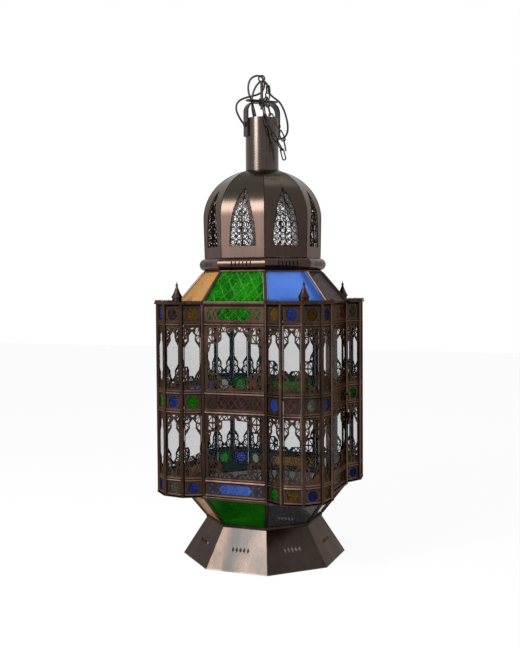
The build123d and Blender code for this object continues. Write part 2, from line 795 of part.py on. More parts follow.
bar_end_share = 0.3
bar_taper = spreader_width / 2
with BuildPart() as spreader:
    with BuildSketch(Plane.XY.offset(spreader_low)):
        bar_half = spreader_length / 2
        end_half = spreader_width * bar_end_share
        right_side = [
            (end_half, -bar_half),
            (spreader_width / 2, bar_taper - bar_half),
            (spreader_width / 2, bar_half - bar_taper),
            (end_half, bar_half),
        ]
        Polygon(*right_side, *[(-x, y) for x, y in reversed(right_side)], align=None)
        Circle(eye_shank_radius + fit_gap, mode=Mode.SUBTRACT)
    extrude(amount=spreader_sheet)
write_node("spreader_bar", placed(spreader.part, strap_place))

lay_place = [spin(lay_turn)]
eye_foot = strap_crown - strap_sheet - eye_tail
with BuildPart() as eye_bolt:
    with BuildSketch(Plane.XY.offset(eye_foot)):
        Circle(eye_shank_radius)
    extrude(amount=eye_height - eye_ring_radius - eye_foot)
    with Locations(Location((0, 0, eye_height), (90, 0, 0))):
        Torus(eye_ring_radius, eye_wire_radius)
write_node("eye_bolt", placed(eye_bolt.part, lay_place))


# Chain: links laid one after another, each turned square to the last, as seen from the lay direction

link_reach = link_length - 2 * link_wire_radius
link_hold = link_wire_radius + link_play
chain_step = link_reach - 2 * link_hold
chain_way_shares = [
    (0.48, -0.5, -0.72),
    (0.06, -0.62, -0.78),
    (-0.2, -0.6, -0.77),
    (-0.3, -0.35, -0.9),
    (0.1, -0.2, -1),
    (0.3, 0.04, -0.95),
    (0.46, 0.17, -0.87),
    (0.52, 0.32, -0.79),
    (0.5, 0.3, -0.81),
    (0.25, 0.1, -0.96),
]
second_way_shares = [
    (0.1, -0.6, -0.8),
    (0.2, -0.4, -0.9),
    (0.5, -0.1, -0.9),
    (0.5, 0, -0.9),
    (0.4, 0, -0.9),
    (0.2, 0, -1),
]
eye_hold_turn = 50


def chain_link(width):
    """Long link of round wire, of one width over all."""
    bend = width / 2 - link_wire_radius
    side = link_reach / 2 - bend
    with BuildPart() as link:
        with BuildLine() as link_path:
            Line((-side, -bend), (side, -bend))
            CenterArc((side, 0), bend, -90, 180)
            Line((side, bend), (-side, bend))
            CenterArc((-side, 0), bend, 90, 180)
        with BuildSketch(Plane(origin=(-side, -bend, 0), z_dir=(1, 0, 0))):
            Circle(link_wire_radius)
        sweep(path=link_path.wire())
    return link.part


def laid_link(part, start, way, normal):
    """Link that runs along a way from a joint, with its flat side facing a normal."""
    middle = start + way * (chain_step / 2)
    return placed(part, [spin(lay_turn) * Location(Plane(origin=middle, x_dir=way, z_dir=normal))])


plain_link = chain_link(link_width)
ring_link = chain_link(ring_link_width)
hold = math.radians(eye_hold_turn)
eye_wire = Vector(eye_ring_radius * math.cos(hold), 0, eye_height - eye_ring_radius * math.sin(hold))
first_way = Vector(*chain_way_shares[0]).normalized()
joint = eye_wire - first_way * eye_wire_radius
across = first_way.cross(Vector(math.sin(hold), 0, math.cos(hold))).normalized()
links = []
chain_joints = [joint]
for count, shares in enumerate(chain_way_shares, start=1):
    way = Vector(*shares).normalized()
    normal = (across - way * across.dot(way)).normalized() if links else way.cross(across).normalized()
    links += laid_link(ring_link if count == chain_upper_count else plain_link, joint, way, normal)
    across = normal.cross(way).normalized()
    joint = joint + way * chain_step
    chain_joints.append(joint)
    if count == chain_upper_count:
        ring_side = across if across.X > 0 else -across
        ring_bend = ring_link_width / 2 - link_wire_radius
        ring_seat = joint - way * (link_play + ring_bend - math.sqrt(ring_bend**2 - (strand_gap / 2) ** 2))
        joint = ring_seat - ring_side * (strand_gap / 2)

# Second strand, hung on the ring link beside the first
joint = ring_seat + ring_side * (strand_gap / 2)
across = ring_side
for shares in second_way_shares:
    way = Vector(*shares).normalized()
    normal = (across - way * across.dot(way)).normalized()
    links += laid_link(plain_link, joint, way, normal)
    across = normal.cross(way).normalized()
    joint = joint + way * chain_step
write_node("chain_upper", links[:chain_upper_count])
write_node("chain_tail", links[chain_upper_count:])
swing = spin(lay_turn) * Location(chain_joints[chain_upper_count])
print("chain tail pivot", [round(v, 3) for v in swing.position])


# Supply flex: out of the neck, looped about the hanging gear and tucked back into the neck

flex_points = [
    (0, 0, 840), (-3, 2, 857), (-8, 5, 875), (-13, 7.5, 893), (-17.5, 8, 911), (-20.2, 8.5, 929),
    (-20.8, 8.5, 945), (-18, 8.5, 959), (-13.2, 8.8, 970), (-7.5, 9.2, 978.3), (-0.4, 9.7, 983), (7, 10.6, 982.2),
    (12, 11.6, 976.5), (13.5, 12.3, 968.5), (15.5, 12.9, 960), (20.5, 13.6, 953), (28.5, 14.3, 947.5),
    (38, 15.2, 940), (46, 14.5, 925), (51.5, 13, 907), (54.5, 12.5, 889), (52.5, 16, 874), (44, 26, 866.5),
    (28, 39, 868), (10, 46, 874), (-10, 46.5, 881), (-28, 39, 889.5), (-40, 27.5, 900), (-48, 18, 912),
    (-53.5, 13.5, 924), (-53, 12, 936), (-46, 12, 944.5), (-35, 12.8, 949.5), (-22, 14.5, 953), (-8.5, 17.5, 956.5),
    (1, 19.3, 963), (5.5, 20, 973), (6, 20, 984), (1.5, 19.6, 993), (-7, 19.5, 997), (-16.5, 19.7, 995),
    (-24.5, 20.2, 988.5), (-28.5, 21, 976), (-27.5, 22, 961), (-21.5, 22, 947), (-17.5, 20.5, 932), (-14, 18, 917),
    (-11, 15, 901), (-8.5, 12.5, 886),
]
bend_share = 0.45
flex_radii = []
for before, here, after in zip(flex_points, flex_points[1:], flex_points[2:]):
    run_in = Vector(*here) - Vector(*before)
    run_out = Vector(*after) - Vector(*here)
    half_bend = math.radians(run_in.get_angle(run_out)) / 2
    flex_radii.append(bend_share * min(run_in.length, run_out.length) / math.tan(half_bend))
with BuildPart() as flex:
    with BuildLine() as flex_path:
        FilletPolyline(*flex_points, radius=flex_radii)
    with BuildSketch(Plane(origin=flex_path.wire() @ 0, z_dir=flex_path.wire() % 0)):
        Circle(flex_radius)
    sweep(path=flex_path.wire())
flex_length = flex_path.wire().length
print("flex length", round(flex_length, 1), "radii", [round(r, 1) for r in flex_radii])
print("flex volume", round(flex.part.volume, 1), "against", round(math.pi * flex_radius**2 * flex_length, 1))
sample_count = round(flex_length / flex_radius)
samples = [flex_path.wire() @ (k / sample_count) for k in range(sample_count)]
near_count = round(loop_length / flex_radius)
self_gap = min(
    (here - there).length for k, here in enumerate(samples) for there in samples[k + near_count :]
)
print("flex gap to itself", round(self_gap - 2 * flex_radius, 2))
write_node("supply_flex", placed(flex.part, lay_place))


# Lamp: a bracket across the neck, a threaded pipe, the lampholder and the bulb

bracket_half = math.sqrt((neck_radius - neck_wall) ** 2 - (bracket_width / 2) ** 2) - run_gap
with BuildPart() as lamp_bracket:
    with BuildSketch(Plane.XY.offset(bracket_low)):
        Rectangle(2 * bracket_half, bracket_width)
        Circle(pipe_radius + fit_gap, mode=Mode.SUBTRACT)
    extrude(amount=bracket_sheet)
write_node("lamp_bracket", placed(lamp_bracket.part, strap_place))

with BuildPart() as lamp_pipe:
    with BuildSketch(Plane.XY.offset(pipe_low)):
        Circle(pipe_radius)
        Circle(pipe_bore, mode=Mode.SUBTRACT)
    extrude(amount=pipe_top - pipe_low)
write_node("lamp_pipe", lamp_pipe.part.solids())

lead_start = Vector(*flex_points[0])
lead_way = (Vector(*flex_points[1]) - lead_start).normalized()
with BuildPart() as inner_lead:
    with BuildSketch(Plane.XY.offset(pipe_low)):
        Circle(flex_radius)
    extrude(amount=lead_start.Z - pipe_low + flex_radius)
    split(bisect_by=Plane(origin=lead_start, z_dir=lead_way), keep=Keep.BOTTOM)
write_node("inner_lead", placed(inner_lead.part, lay_place))

socket_radius = cap_radius + run_gap
with BuildPart() as lampholder:
    with BuildSketch(Plane.XY.offset(holder_low)):
        Circle(holder_radius)
    extrude(amount=holder_rise)
    with BuildSketch(Plane.XY.offset(holder_low)):
        Circle(socket_radius)
    extrude(amount=socket_depth, mode=Mode.SUBTRACT)
write_node("lampholder", lampholder.part.solids())

cap_low = holder_low + socket_depth - run_gap - cap_rise
with BuildPart() as bulb_cap:
    with BuildSketch(Plane.XY.offset(cap_low)):
        Circle(cap_radius)
    extrude(amount=cap_rise)
write_node("bulb_cap", bulb_cap.part.solids())

bulb_low = cap_low - bulb_rise
bulb_shoulder_turn = 20
with BuildPart() as bulb_glass:
    with BuildSketch(Plane.XZ):
        with BuildLine():
            bowl = CenterArc((0, bulb_low + bulb_radius), bulb_radius, -90, 90 + bulb_shoulder_turn)
            Line(bowl @ 1, (bulb_neck_radius, cap_low - bulb_neck_radius))
            Line((bulb_neck_radius, cap_low - bulb_neck_radius), (bulb_neck_radius, cap_low))
            Line((bulb_neck_radius, cap_low), (0, cap_low))
            Line((0, cap_low), bowl @ 0)
        make_face()
    revolve(axis=Axis.Z)
write_node("bulb_glass", bulb_glass.part.solids())


# Door: the front wall's plates on a frame of their own, hinged on the left post

door_back = cabin_apothem - sheet - fit_gap - glass - fit_gap
frame_half = main_width / 2 - door_edge_inset
with BuildPart() as door_frame:
    with BuildSketch(front_plane(door_back, (cabin_low + cabin_top) / 2)):
        Rectangle(2 * frame_half, cabin_rise - 2 * run_gap)
    extrude(amount=-door_frame_sheet)
    with BuildSketch(front_plane(door_back, 0)):
        for low, high in spans.values():
            with Locations((0, (low + high) / 2)):
                Rectangle(2 * (frame_half - door_frame_width), high - low - door_frame_width)
    extrude(amount=-door_frame_sheet, mode=Mode.SUBTRACT)
write_node("door_frame", placed(door_frame.part, door_place))
write_node("door_rails", placed(rails(cabin_apothem, main_width, run_gap), door_place))
write_node("door_screens", [s for plate in main_plates + main_screens for s in placed(plate, door_place)])
write_node("door_panes", [s for n in window_names for s in placed(main_panes[n], door_place)])
write_node("door_band_glass", [s for n in band_names for s in placed(main_panes[n], door_place)])

hinge_step = (post_apothem + fit_gap + knuckle_radius) * math.sin(math.radians(face_turn))
hinge_x = hinge_step - cabin_side / 2
hinge_y = -cabin_apothem - hinge_step
hinge_heights = [(cabin_low + level_1) / 2, (level_4 + cabin_top) / 2]
hinge_bore = pin_radius + seat_gap
knuckle_pitch = knuckle_rise + run_gap
print("door hinge axis", round(-hinge_y, 3), round(hinge_x, 3))


def hinge_leaf(height):
    """Door's leaf: a foot on the plate, a riser and the middle knuckle."""
    with BuildPart() as leaf:
        with BuildSketch(Plane.XY.offset(height - knuckle_rise / 2)):
            with Locations((hinge_x, hinge_y)):
                Circle(knuckle_radius)
            with Locations((hinge_x, -cabin_apothem - seat_gap)):
                Rectangle(knuckle_radius, hinge_step - seat_gap, align=(Align.MIN, Align.MAX))
                Rectangle(leaf_reach, leaf_sheet, align=(Align.MIN, Align.MAX))
            with Locations((hinge_x, hinge_y)):
                Circle(hinge_bore, mode=Mode.SUBTRACT)
        extrude(amount=knuckle_rise)
    return leaf.part


def fixed_knuckle(height):
    """Post's knuckle, above or below the door's."""
    with BuildPart() as knuckle:
        with BuildSketch(Plane.XY.offset(height - knuckle_rise / 2)):
            with Locations((hinge_x, hinge_y)):
                Circle(knuckle_radius)
                Circle(hinge_bore, mode=Mode.SUBTRACT)
        extrude(amount=knuckle_rise)
    return knuckle.part


def hinge_pin(height):
    """Pin through the knuckles, with a head that rests on the top one."""
    pin_low = height - knuckle_pitch - knuckle_rise / 2
    head_low = height + knuckle_pitch + knuckle_rise / 2 + seat_gap
    with BuildPart() as pin:
        with BuildSketch(Plane.XY.offset(pin_low)):
            with Locations((hinge_x, hinge_y)):
                Circle(pin_radius)
        extrude(amount=head_low - pin_low)
        with BuildSketch(Plane.XY.offset(head_low)):
            with Locations((hinge_x, hinge_y)):
                Circle(pin_head_radius)
        extrude(amount=pin_head)
    return pin.part


# Turn button on the right post, its stud, and the strike that it closes over
latch_height = level_2 - button_drop
latch_x = cabin_side / 2
button_back = cabin_apothem + post_apothem + run_gap
button_front = button_back + button_sheet
strike_top = button_back - run_gap - cabin_apothem - seat_gap
strike_x = main_width / 2 - strike_width / 2 - run_gap
with BuildPart() as strike:
    with BuildSketch(front_plane(cabin_apothem + seat_gap, latch_height)):
        with Locations((strike_x, 0)):
            Rectangle(strike_width, strike_rise)
    extrude(amount=strike_top)

with BuildPart() as turn_button:
    with BuildSketch(front_plane(button_back, latch_height)):
        with Locations((latch_x, button_half)):
            Rectangle(2 * button_half, button_length + button_half, align=(Align.CENTER, Align.MAX))
        with Locations((latch_x, 0)):
            Circle(stud_radius + fit_gap, mode=Mode.SUBTRACT)
    extrude(amount=button_sheet)
write_node("turn_button", placed(turn_button.part, door_place))

stud_low = cabin_apothem + post_apothem + seat_gap
stud_head_low = button_front + run_gap
with BuildPart() as stud:
    with BuildSketch(front_plane(stud_low, latch_height)):
        with Locations((latch_x, 0)):
            Circle(stud_radius)
    extrude(amount=stud_head_low - stud_low)
    with BuildSketch(front_plane(stud_head_low, latch_height)):
        with Locations((latch_x, 0)):
            Circle(stud_head_radius)
    extrude(amount=stud_head)
print("turn button pivot", round(button_back, 3), round(latch_x, 3), round(latch_height, 3))

leaves = [hinge_leaf(height) for height in hinge_heights]
knuckles = [fixed_knuckle(height + side * knuckle_pitch) for height in hinge_heights for side in (-1, 1)]
pins = [hinge_pin(height) for height in hinge_heights]
write_node("door_fittings", [s for piece in leaves + [strike.part] for s in placed(piece, door_place)])
write_node("post_fittings", [s for piece in knuckles + [stud.part] for s in placed(piece, door_place)])
write_node("hinge_pins", [s for pin in pins for s in placed(pin, door_place)])

knob_height = (level_2 + level_3) / 2
knob_x = main_width / 2 - knob_inset
knob_shares = [
    (0.0, 0.0), (0.8, 0.0), (0.8, 0.1), (0.4, 0.2), (0.4, 0.5), (0.9, 0.6), (1.0, 0.75), (0.8, 0.95),
    (0.0, 1.0),
]
with BuildPart() as knob:
    with BuildSketch(Plane.XZ):
        Polygon(*[(knob_radius * r, knob_rise * z) for r, z in knob_shares], align=None)
    revolve(axis=Axis.Z)
knob_seat = Plane(origin=(knob_x, -cabin_apothem - seat_gap, knob_height), z_dir=(0, -1, 0))
write_node("door_knob", placed(knob.part, [spin(door_turn) * Location(knob_seat)]))
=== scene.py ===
"""Dresses a pierced copper lantern with coloured glass for a studio picture."""
import logging
import math
from dataclasses import dataclass, field
from enum import Enum
from functools import cache
from typing import Any, Callable, Mapping, Sequence

import bpy
from mathutils import Matrix, Vector
from mathutils.geometry import delaunay_2d_cdt


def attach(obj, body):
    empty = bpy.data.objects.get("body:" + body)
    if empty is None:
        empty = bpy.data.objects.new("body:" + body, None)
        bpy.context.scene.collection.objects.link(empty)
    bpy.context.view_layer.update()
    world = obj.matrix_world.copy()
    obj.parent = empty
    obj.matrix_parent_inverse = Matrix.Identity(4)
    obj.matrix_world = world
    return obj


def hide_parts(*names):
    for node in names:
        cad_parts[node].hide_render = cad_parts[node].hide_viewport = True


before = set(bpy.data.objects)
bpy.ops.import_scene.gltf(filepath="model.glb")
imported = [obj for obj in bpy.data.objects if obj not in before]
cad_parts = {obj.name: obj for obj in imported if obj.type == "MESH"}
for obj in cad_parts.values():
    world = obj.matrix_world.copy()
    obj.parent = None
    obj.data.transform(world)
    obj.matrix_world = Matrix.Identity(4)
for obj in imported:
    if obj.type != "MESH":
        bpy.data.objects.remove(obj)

log = logging.getLogger("lantern")

Colour = tuple[float, float, float]
Point = tuple[float, float]
Span = tuple[float, float]
Face = tuple[int, ...]
Ribbon = list[tuple[float, float, float]]
Socket = bpy.types.NodeSocket
Material = bpy.types.Material
Piece = bpy.types.Object

MM = 0.001
ROOT = "lantern"
WHITE = (1.0, 1.0, 1.0)
LEVEL = (1.0, 1.0, 0.0)
UP = (0.0, 0.0, 1.0)
WELD_GAP = 0.01 * MM
BEVEL_STEPS = 2
BEVEL_ANGLE = math.radians(28)
CREASE_ANGLE = math.radians(35)


# Shader expressions


class Value:
    """A socket in an expression, whose operators add Math nodes."""

    def __init__(self, graph: "Graph", socket: Socket) -> None:
        """Wrap one output socket of a graph."""
        self.graph = graph
        self.socket = socket

    def _math(self, operation: str, first: Any, second: Any) -> "Value":
        """Result of one Math node on two values or numbers."""
        node = self.graph.node("ShaderNodeMath", {"operation": operation}, {0: first, 1: second})
        return Value(self.graph, node.outputs[0])

    def __add__(self, other: Any) -> "Value":
        """Sum."""
        return self._math("ADD", self, other)

    __radd__ = __add__

    def __mul__(self, other: Any) -> "Value":
        """Product."""
        return self._math("MULTIPLY", self, other)

    __rmul__ = __mul__

    def __sub__(self, other: Any) -> "Value":
        """Difference."""
        return self._math("SUBTRACT", self, other)

    def __rsub__(self, other: Any) -> "Value":
        """Difference from a number."""
        return self._math("SUBTRACT", other, self)

    def sine(self) -> "Value":
        """Sine of the value."""
        return self._math("SINE", self, 0.0)

    def size(self) -> "Value":
        """Absolute value."""
        return self._math("ABSOLUTE", self, 0.0)

    def least(self, other: Any) -> "Value":
        """Smaller of two values."""
        return self._math("MINIMUM", self, other)

    def most(self, other: Any) -> "Value":
        """Larger of two values."""
        return self._math("MAXIMUM", self, other)

    def ease(self, low: float, high: float) -> "Value":
        """Smooth step.

        Args:
            low: Value that gives 0.
            high: Value that gives 1.

        Returns:
            The eased value, from 0 to 1.
        """
        node = self.graph.node(
            "ShaderNodeMapRange",
            {"interpolation_type": "SMOOTHSTEP"},
            {"Value": self, "From Min": low, "From Max": high, "To Min": 0.0, "To Max": 1.0},
        )
        return Value(self.graph, node.outputs[0])


class Graph:
    """Node tree of a material or of the surround."""

    def __init__(self, owner: Material | bpy.types.World) -> None:
        """Empty the owner's node tree.

        Args:
            owner: The material or surround.
        """
        owner.use_nodes = True
        self.owner = owner
        self.tree = owner.node_tree
        self.tree.nodes.clear()

    def node(
        self, kind: str, settings: Mapping[str, Any] | None = None, inputs: Mapping[Any, Any] | None = None
    ) -> bpy.types.Node:
        """Add any node.

        Args:
            kind: The node's type.
            settings: Its settings, set first; stops are those of a ramp.
            inputs: Values or links of its sockets, by place, name or identifier.

        Returns:
            The node.
        """
        node = self.tree.nodes.new(kind)
        for key, value in (settings or {}).items():
            if key == "stops":
                self._set_stops(node.color_ramp, value)
            else:
                setattr(node, key, value)
        for key, value in (inputs or {}).items():
            socket = self._socket(node, key)
            source = value.socket if isinstance(value, Value) else value
            if isinstance(source, Socket):
                self.tree.links.new(source, socket)
            elif isinstance(value, tuple) and len(value) == 3 and socket.type == "RGBA":
                socket.default_value = (*value, 1.0)
            else:
                socket.default_value = value
        return node

    @staticmethod
    def _socket(node: bpy.types.Node, key: Any) -> Socket:
        """Find an input socket.

        Args:
            node: The node.
            key: The socket's place, identifier or name.

        Returns:
            The socket.
        """
        if isinstance(key, int):
            return node.inputs[key]
        return next(s for s in node.inputs if key in (s.identifier, s.name))

    @staticmethod
    def _set_stops(ramp: bpy.types.ColorRamp, stops: Sequence[tuple[float, Colour]]) -> None:
        """Give a ramp its stops.

        Args:
            ramp: The ramp.
            stops: Position and colour of each stop.
        """
        while len(ramp.elements) < len(stops):
            ramp.elements.new(1.0)
        for element, (position, colour) in zip(ramp.elements, stops):
            element.position = position
            element.color = (*colour, 1.0)

    def place(self) -> Socket:
        """Position on the piece, in metres."""
        return self.node("ShaderNodeTexCoord").outputs["Object"]

    def vector(self, operation: str, *operands: Any) -> Socket:
        """Vector that a Vector Math node gives."""
        return self.node("ShaderNodeVectorMath", {"operation": operation}, dict(enumerate(operands))).outputs["Vector"]

    def measure(self, operation: str, *operands: Any) -> Value:
        """Number that a Vector Math node gives."""
        node = self.node("ShaderNodeVectorMath", {"operation": operation}, dict(enumerate(operands)))
        return Value(self, node.outputs["Value"])

    def scaled(self, place: Socket, scale: Colour) -> Socket:
        """Position stretched by a scale for each axis."""
        return self.vector("MULTIPLY", place, scale)

    def noise(self, place: Socket, scale: float, detail: float = 3.0, rough: float = 0.55) -> Value:
        """Noise about one half, by its clouds per metre, its octaves and the strength of the fine ones."""
        sockets = {"Vector": place, "Scale": scale, "Detail": detail, "Roughness": rough}
        return Value(self, self.node("ShaderNodeTexNoise", {}, sockets).outputs[0])

    def cells(self, place: Socket, scale: float) -> Value:
        """Distance in a pattern of round cells."""
        node = self.node("ShaderNodeTexVoronoi", {"feature": "SMOOTH_F1"}, {"Vector": place, "Scale": scale})
        return Value(self, node.outputs["Distance"])

    def across(self) -> Value:
        """Level distance along the face from the lantern's axis, in metres."""
        side = self.vector("CROSS_PRODUCT", UP, self.node("ShaderNodeNewGeometry").outputs["True Normal"])
        return self.measure("DOT_PRODUCT", self.vector("NORMALIZE", side), self.place())

    def outwardness(self) -> Value:
        """How far the surface faces away from the lantern's axis, from -1 to 1."""
        way = self.vector("NORMALIZE", self.scaled(self.place(), LEVEL))
        return self.measure("DOT_PRODUCT", way, self.node("ShaderNodeTexCoord").outputs["Normal"])

    def height(self) -> Value:
        """Height on the piece, in metres."""
        node = self.node("ShaderNodeSeparateXYZ", {}, {0: self.place()})
        return Value(self, node.outputs[2])

    def ramp(self, value: Value, stops: Sequence[tuple[float, Colour]]) -> Socket:
        """Colour by a value."""
        return self.node("ShaderNodeValToRGB", {"stops": stops}, {0: value}).outputs[0]

    def mix(self, factor: Any, first: Any, second: Any) -> Socket:
        """Mix of two colours, by the share of the second."""
        sockets = {"Factor_Float": factor, "A_Color": first, "B_Color": second}
        return self.node("ShaderNodeMix", {"data_type": "RGBA", "clamp_factor": True}, sockets).outputs[2]

    def bump(self, height: Value, depth: float, strength: float = 1.0) -> Socket:
        """Normal of a relief from 0 to 1, by its depth in metres and the share of it that shows."""
        node = self.node("ShaderNodeBump", {}, {"Height": height, "Distance": depth, "Strength": strength})
        return node.outputs[0]

    def seen(self) -> Value:
        """Whether a ray comes from the camera, a reflection or a transmission.

        Returns:
            1 for such a ray, otherwise 0.
        """
        rays = self.node("ShaderNodeLightPath").outputs
        seen = Value(self, rays["Is Camera Ray"])
        for name in ("Is Glossy Ray", "Is Transmission Ray"):
            seen = seen.most(Value(self, rays[name]))
        return seen

    def surface(self, inputs: Mapping[str, Any]) -> Material:
        """End the material in a Principled shader.

        Args:
            inputs: Values or links of the shader's sockets.

        Returns:
            The material.
        """
        shader = self.node("ShaderNodeBsdfPrincipled", {}, inputs)
        self.node("ShaderNodeOutputMaterial", {}, {"Surface": shader.outputs[0]})
        return self.owner


# Finishes


@dataclass(frozen=True)
class Patina:
    """Oxidised copper sheet, clouded, streaked and rubbed, with painted shade darkening its inner side."""

    name: str
    dark: Colour = (0.026, 0.015, 0.011)
    mid: Colour = (0.058, 0.032, 0.023)
    warm: Colour = (0.1, 0.055, 0.039)
    rubbed: Colour = (0.2, 0.115, 0.083)
    # Colour of the painted shade on the inner side.
    inner_shade_colour: Colour = (0.007, 0.006, 0.0055)
    rub: float = 0.35
    rough: float = 0.3
    dents: float = 0.0
    dent_scale: float = 22.0
    coat: float = 0.1
    crown: Colour | None = None
    crown_from: float = 0.68
    crown_to: float = 0.77
    hem: bool = False

    STREAK_STRETCH = (95.0, 95.0, 7.0)
    DENT_STRETCH = (1.0, 1.0, 0.45)
    TONE_STOPS = (0.34, 0.52, 0.7)
    CLOUD_SHARE = 0.6
    STREAK_SHARE = 0.4
    CROWN_SHARE = 0.85
    INNER_SHADE_SHARE = 0.9
    WORN_SPAN = (0.52, 0.74)
    HEM_SPAN = (0.0012, 0.0026)
    INNER_SHADE_SPAN = (-0.3, -0.05)
    GRAIN_RELIEF = 0.25
    SCUFF_RELIEF = 0.2
    ROUGH_DROP = 0.08
    ROUGH_CLOUD = 0.18
    ROUGH_GRAIN = 0.08
    SPECULAR_TINT = (0.5, 0.44, 0.4)

    def material(self) -> Material:
        """Build the finish.

        Returns:
            The material.
        """
        g = Graph(bpy.data.materials.new(self.name))
        place = g.place()
        cloud = g.noise(place, scale=11.0, detail=5.0)
        grain = g.noise(place, scale=420.0, detail=3.0)
        streak = g.noise(g.scaled(place, self.STREAK_STRETCH), scale=1.0, detail=4.0)
        scuff = g.noise(place, scale=60.0, detail=6.0, rough=0.7)
        stops = list(zip(self.TONE_STOPS, (self.dark, self.mid, self.warm)))
        tone = g.ramp(cloud * self.CLOUD_SHARE + streak * self.STREAK_SHARE, stops)
        if self.crown:
            tone = g.mix(g.height().ease(self.crown_from, self.crown_to) * self.CROWN_SHARE, tone, self.crown)
        worn = scuff.ease(*self.WORN_SPAN) * self.rub
        if self.hem:
            worn = worn.most(1 - g.height().ease(*self.HEM_SPAN))
        # Painted shade: faces turned towards the lantern's axis are darkened and lose their coat, standing in for the
        # shade inside the lantern.
        inner_shade = 1 - g.outwardness().ease(*self.INNER_SHADE_SPAN)
        normal = g.bump(grain * self.GRAIN_RELIEF + scuff * self.SCUFF_RELIEF, depth=0.0004, strength=0.35)
        if self.dents:
            wave = g.noise(g.scaled(place, self.DENT_STRETCH), scale=self.dent_scale, detail=1.2)
            node = g.node("ShaderNodeBump", {}, {"Height": wave, "Distance": self.dents, "Normal": normal})
            normal = node.outputs[0]
        return g.surface({
            "Base Color": g.mix(inner_shade * self.INNER_SHADE_SHARE, g.mix(worn, tone, self.rubbed), self.inner_shade_colour),
            "Metallic": 1.0,
            "Roughness": self.rough - self.ROUGH_DROP + cloud * self.ROUGH_CLOUD + grain * self.ROUGH_GRAIN,
            "Specular Tint": self.SPECULAR_TINT,
            "Coat Weight": self.coat - inner_shade * self.coat,
            "Coat Roughness": 0.22,
            "Normal": normal,
        })


@dataclass(frozen=True)
class Blackened:
    """Blackened steel with faint rust and scale."""

    name: str
    base: Colour = (0.03, 0.025, 0.022)
    rust: Colour = (0.09, 0.045, 0.028)
    rough: float = 0.36

    RUST_SPAN = (0.5, 0.75)
    RUST_SHARE = 0.7
    ROUGH_DROP = 0.05
    ROUGH_SCALE = 0.25

    def material(self) -> Material:
        """Build the finish.

        Returns:
            The material.
        """
        g = Graph(bpy.data.materials.new(self.name))
        place = g.place()
        scale = g.noise(place, scale=160.0, detail=5.0)
        spots = g.noise(place, scale=55.0, detail=6.0, rough=0.7).ease(*self.RUST_SPAN)
        return g.surface({
            "Base Color": g.mix(spots * self.RUST_SHARE, self.base, self.rust),
            "Metallic": 0.9,
            "Roughness": self.rough - self.ROUGH_DROP + scale * self.ROUGH_SCALE,
            "Normal": g.bump(scale, depth=0.0003, strength=0.5),
        })


class Emboss(Enum):
    """Relief rolled into a coloured pane."""

    HAMMERED = "hammered"
    LATTICE = "lattice"


@dataclass(frozen=True)
class CathedralGlass:
    """Coloured rolled glass with a relief on its face, and painted glints in its colour."""

    name: str
    deep: Colour
    light: Colour
    emboss: Emboss = Emboss.HAMMERED
    cell: float = 190.0
    pitch: float = 0.024
    lattice_from: float = 0.0
    # Strength of the painted glints.
    sparkle: float = 0.6
    through: float = 0.72
    rough: float = 0.16

    PEBBLE_RELIEF = 0.5
    SPARKLE_RELIEF = 0.6
    PAINTED_GLINT_SPAN = (0.6, 0.7)
    DIAMOND_SHARE = 0.8
    LINE_SPAN = (0.05, 0.2)
    LINE_RELIEF = 0.9
    LINE_PAINTED_GLINT = 0.6
    GROUND_RELIEF = 0.6
    CLOUD_SHARE = 0.3
    SPARKLE_SHARE = 0.7
    TONE_SPAN = (0.36, 0.6)
    BRIGHT_GAIN = 1.5
    BRIGHT_LIFT = 0.12
    ROUGH_CLOUD = 0.1

    def material(self) -> Material:
        """Build the finish.

        Returns:
            The material.
        """
        g = Graph(bpy.data.materials.new(self.name))
        place = g.place()
        pebble = g.cells(place, self.cell)
        sparkle = g.noise(place, scale=380.0, detail=2.5, rough=0.6)
        cloud = g.noise(place, scale=18.0, detail=3.0)
        relief = pebble * self.PEBBLE_RELIEF + sparkle * self.SPARKLE_RELIEF
        # Painted highlight: bright glints painted into the colour where the fine noise peaks.
        painted_glint = sparkle.ease(*self.PAINTED_GLINT_SPAN) * self.sparkle
        if self.emboss is Emboss.LATTICE:
            turn = math.pi / self.pitch
            u, v = g.across() * turn, g.height() * (turn * self.DIAMOND_SHARE)
            ridge = (u + v).sine().size().least((u - v).sine().size())
            above = g.height().ease(self.lattice_from, self.lattice_from + MM)
            line = (1 - ridge.ease(*self.LINE_SPAN)) * above
            relief = relief * self.GROUND_RELIEF + line * self.LINE_RELIEF
            # The lattice lines also get painted glints.
            painted_glint = painted_glint.most(line * self.LINE_PAINTED_GLINT)
        mottle = (cloud * self.CLOUD_SHARE + sparkle * self.SPARKLE_SHARE).ease(*self.TONE_SPAN)
        tone = g.mix(mottle, self.deep, self.light)
        # Colour of the painted glints.
        painted_glint_colour = tuple(min(1.0, c * self.BRIGHT_GAIN + self.BRIGHT_LIFT) for c in self.light)
        return g.surface({
            "Base Color": g.mix(painted_glint, tone, painted_glint_colour),
            "Roughness": self.rough + cloud * self.ROUGH_CLOUD,
            "Transmission Weight": self.through,
            "IOR": 1.06,
            "Normal": g.bump(relief, depth=0.0012, strength=0.8),
        })


@dataclass(frozen=True)
class ClearGlass:
    """Thin clear window glass with faint dust and waviness."""

    name: str
    tint: Colour = (0.012, 0.024, 0.027)
    alpha: float = 0.14
    rough: float = 0.04

    ROUGH_DUST = 0.06
    ALPHA_DROP = 0.02
    ALPHA_DUST = 0.04

    def material(self) -> Material:
        """Build the finish.

        Returns:
            The material.
        """
        g = Graph(bpy.data.materials.new(self.name))
        place = g.place()
        dust = g.noise(place, scale=26.0, detail=5.0)
        wave = g.noise(place, scale=9.0, detail=1.5)
        return g.surface({
            "Base Color": self.tint,
            "Roughness": self.rough + dust * self.ROUGH_DUST,
            "Alpha": self.alpha - self.ALPHA_DROP + dust * self.ALPHA_DUST,
            "IOR": 1.5,
            "Specular IOR Level": 0.4,
            "Normal": g.bump(wave, depth=0.004, strength=0.3),
        })


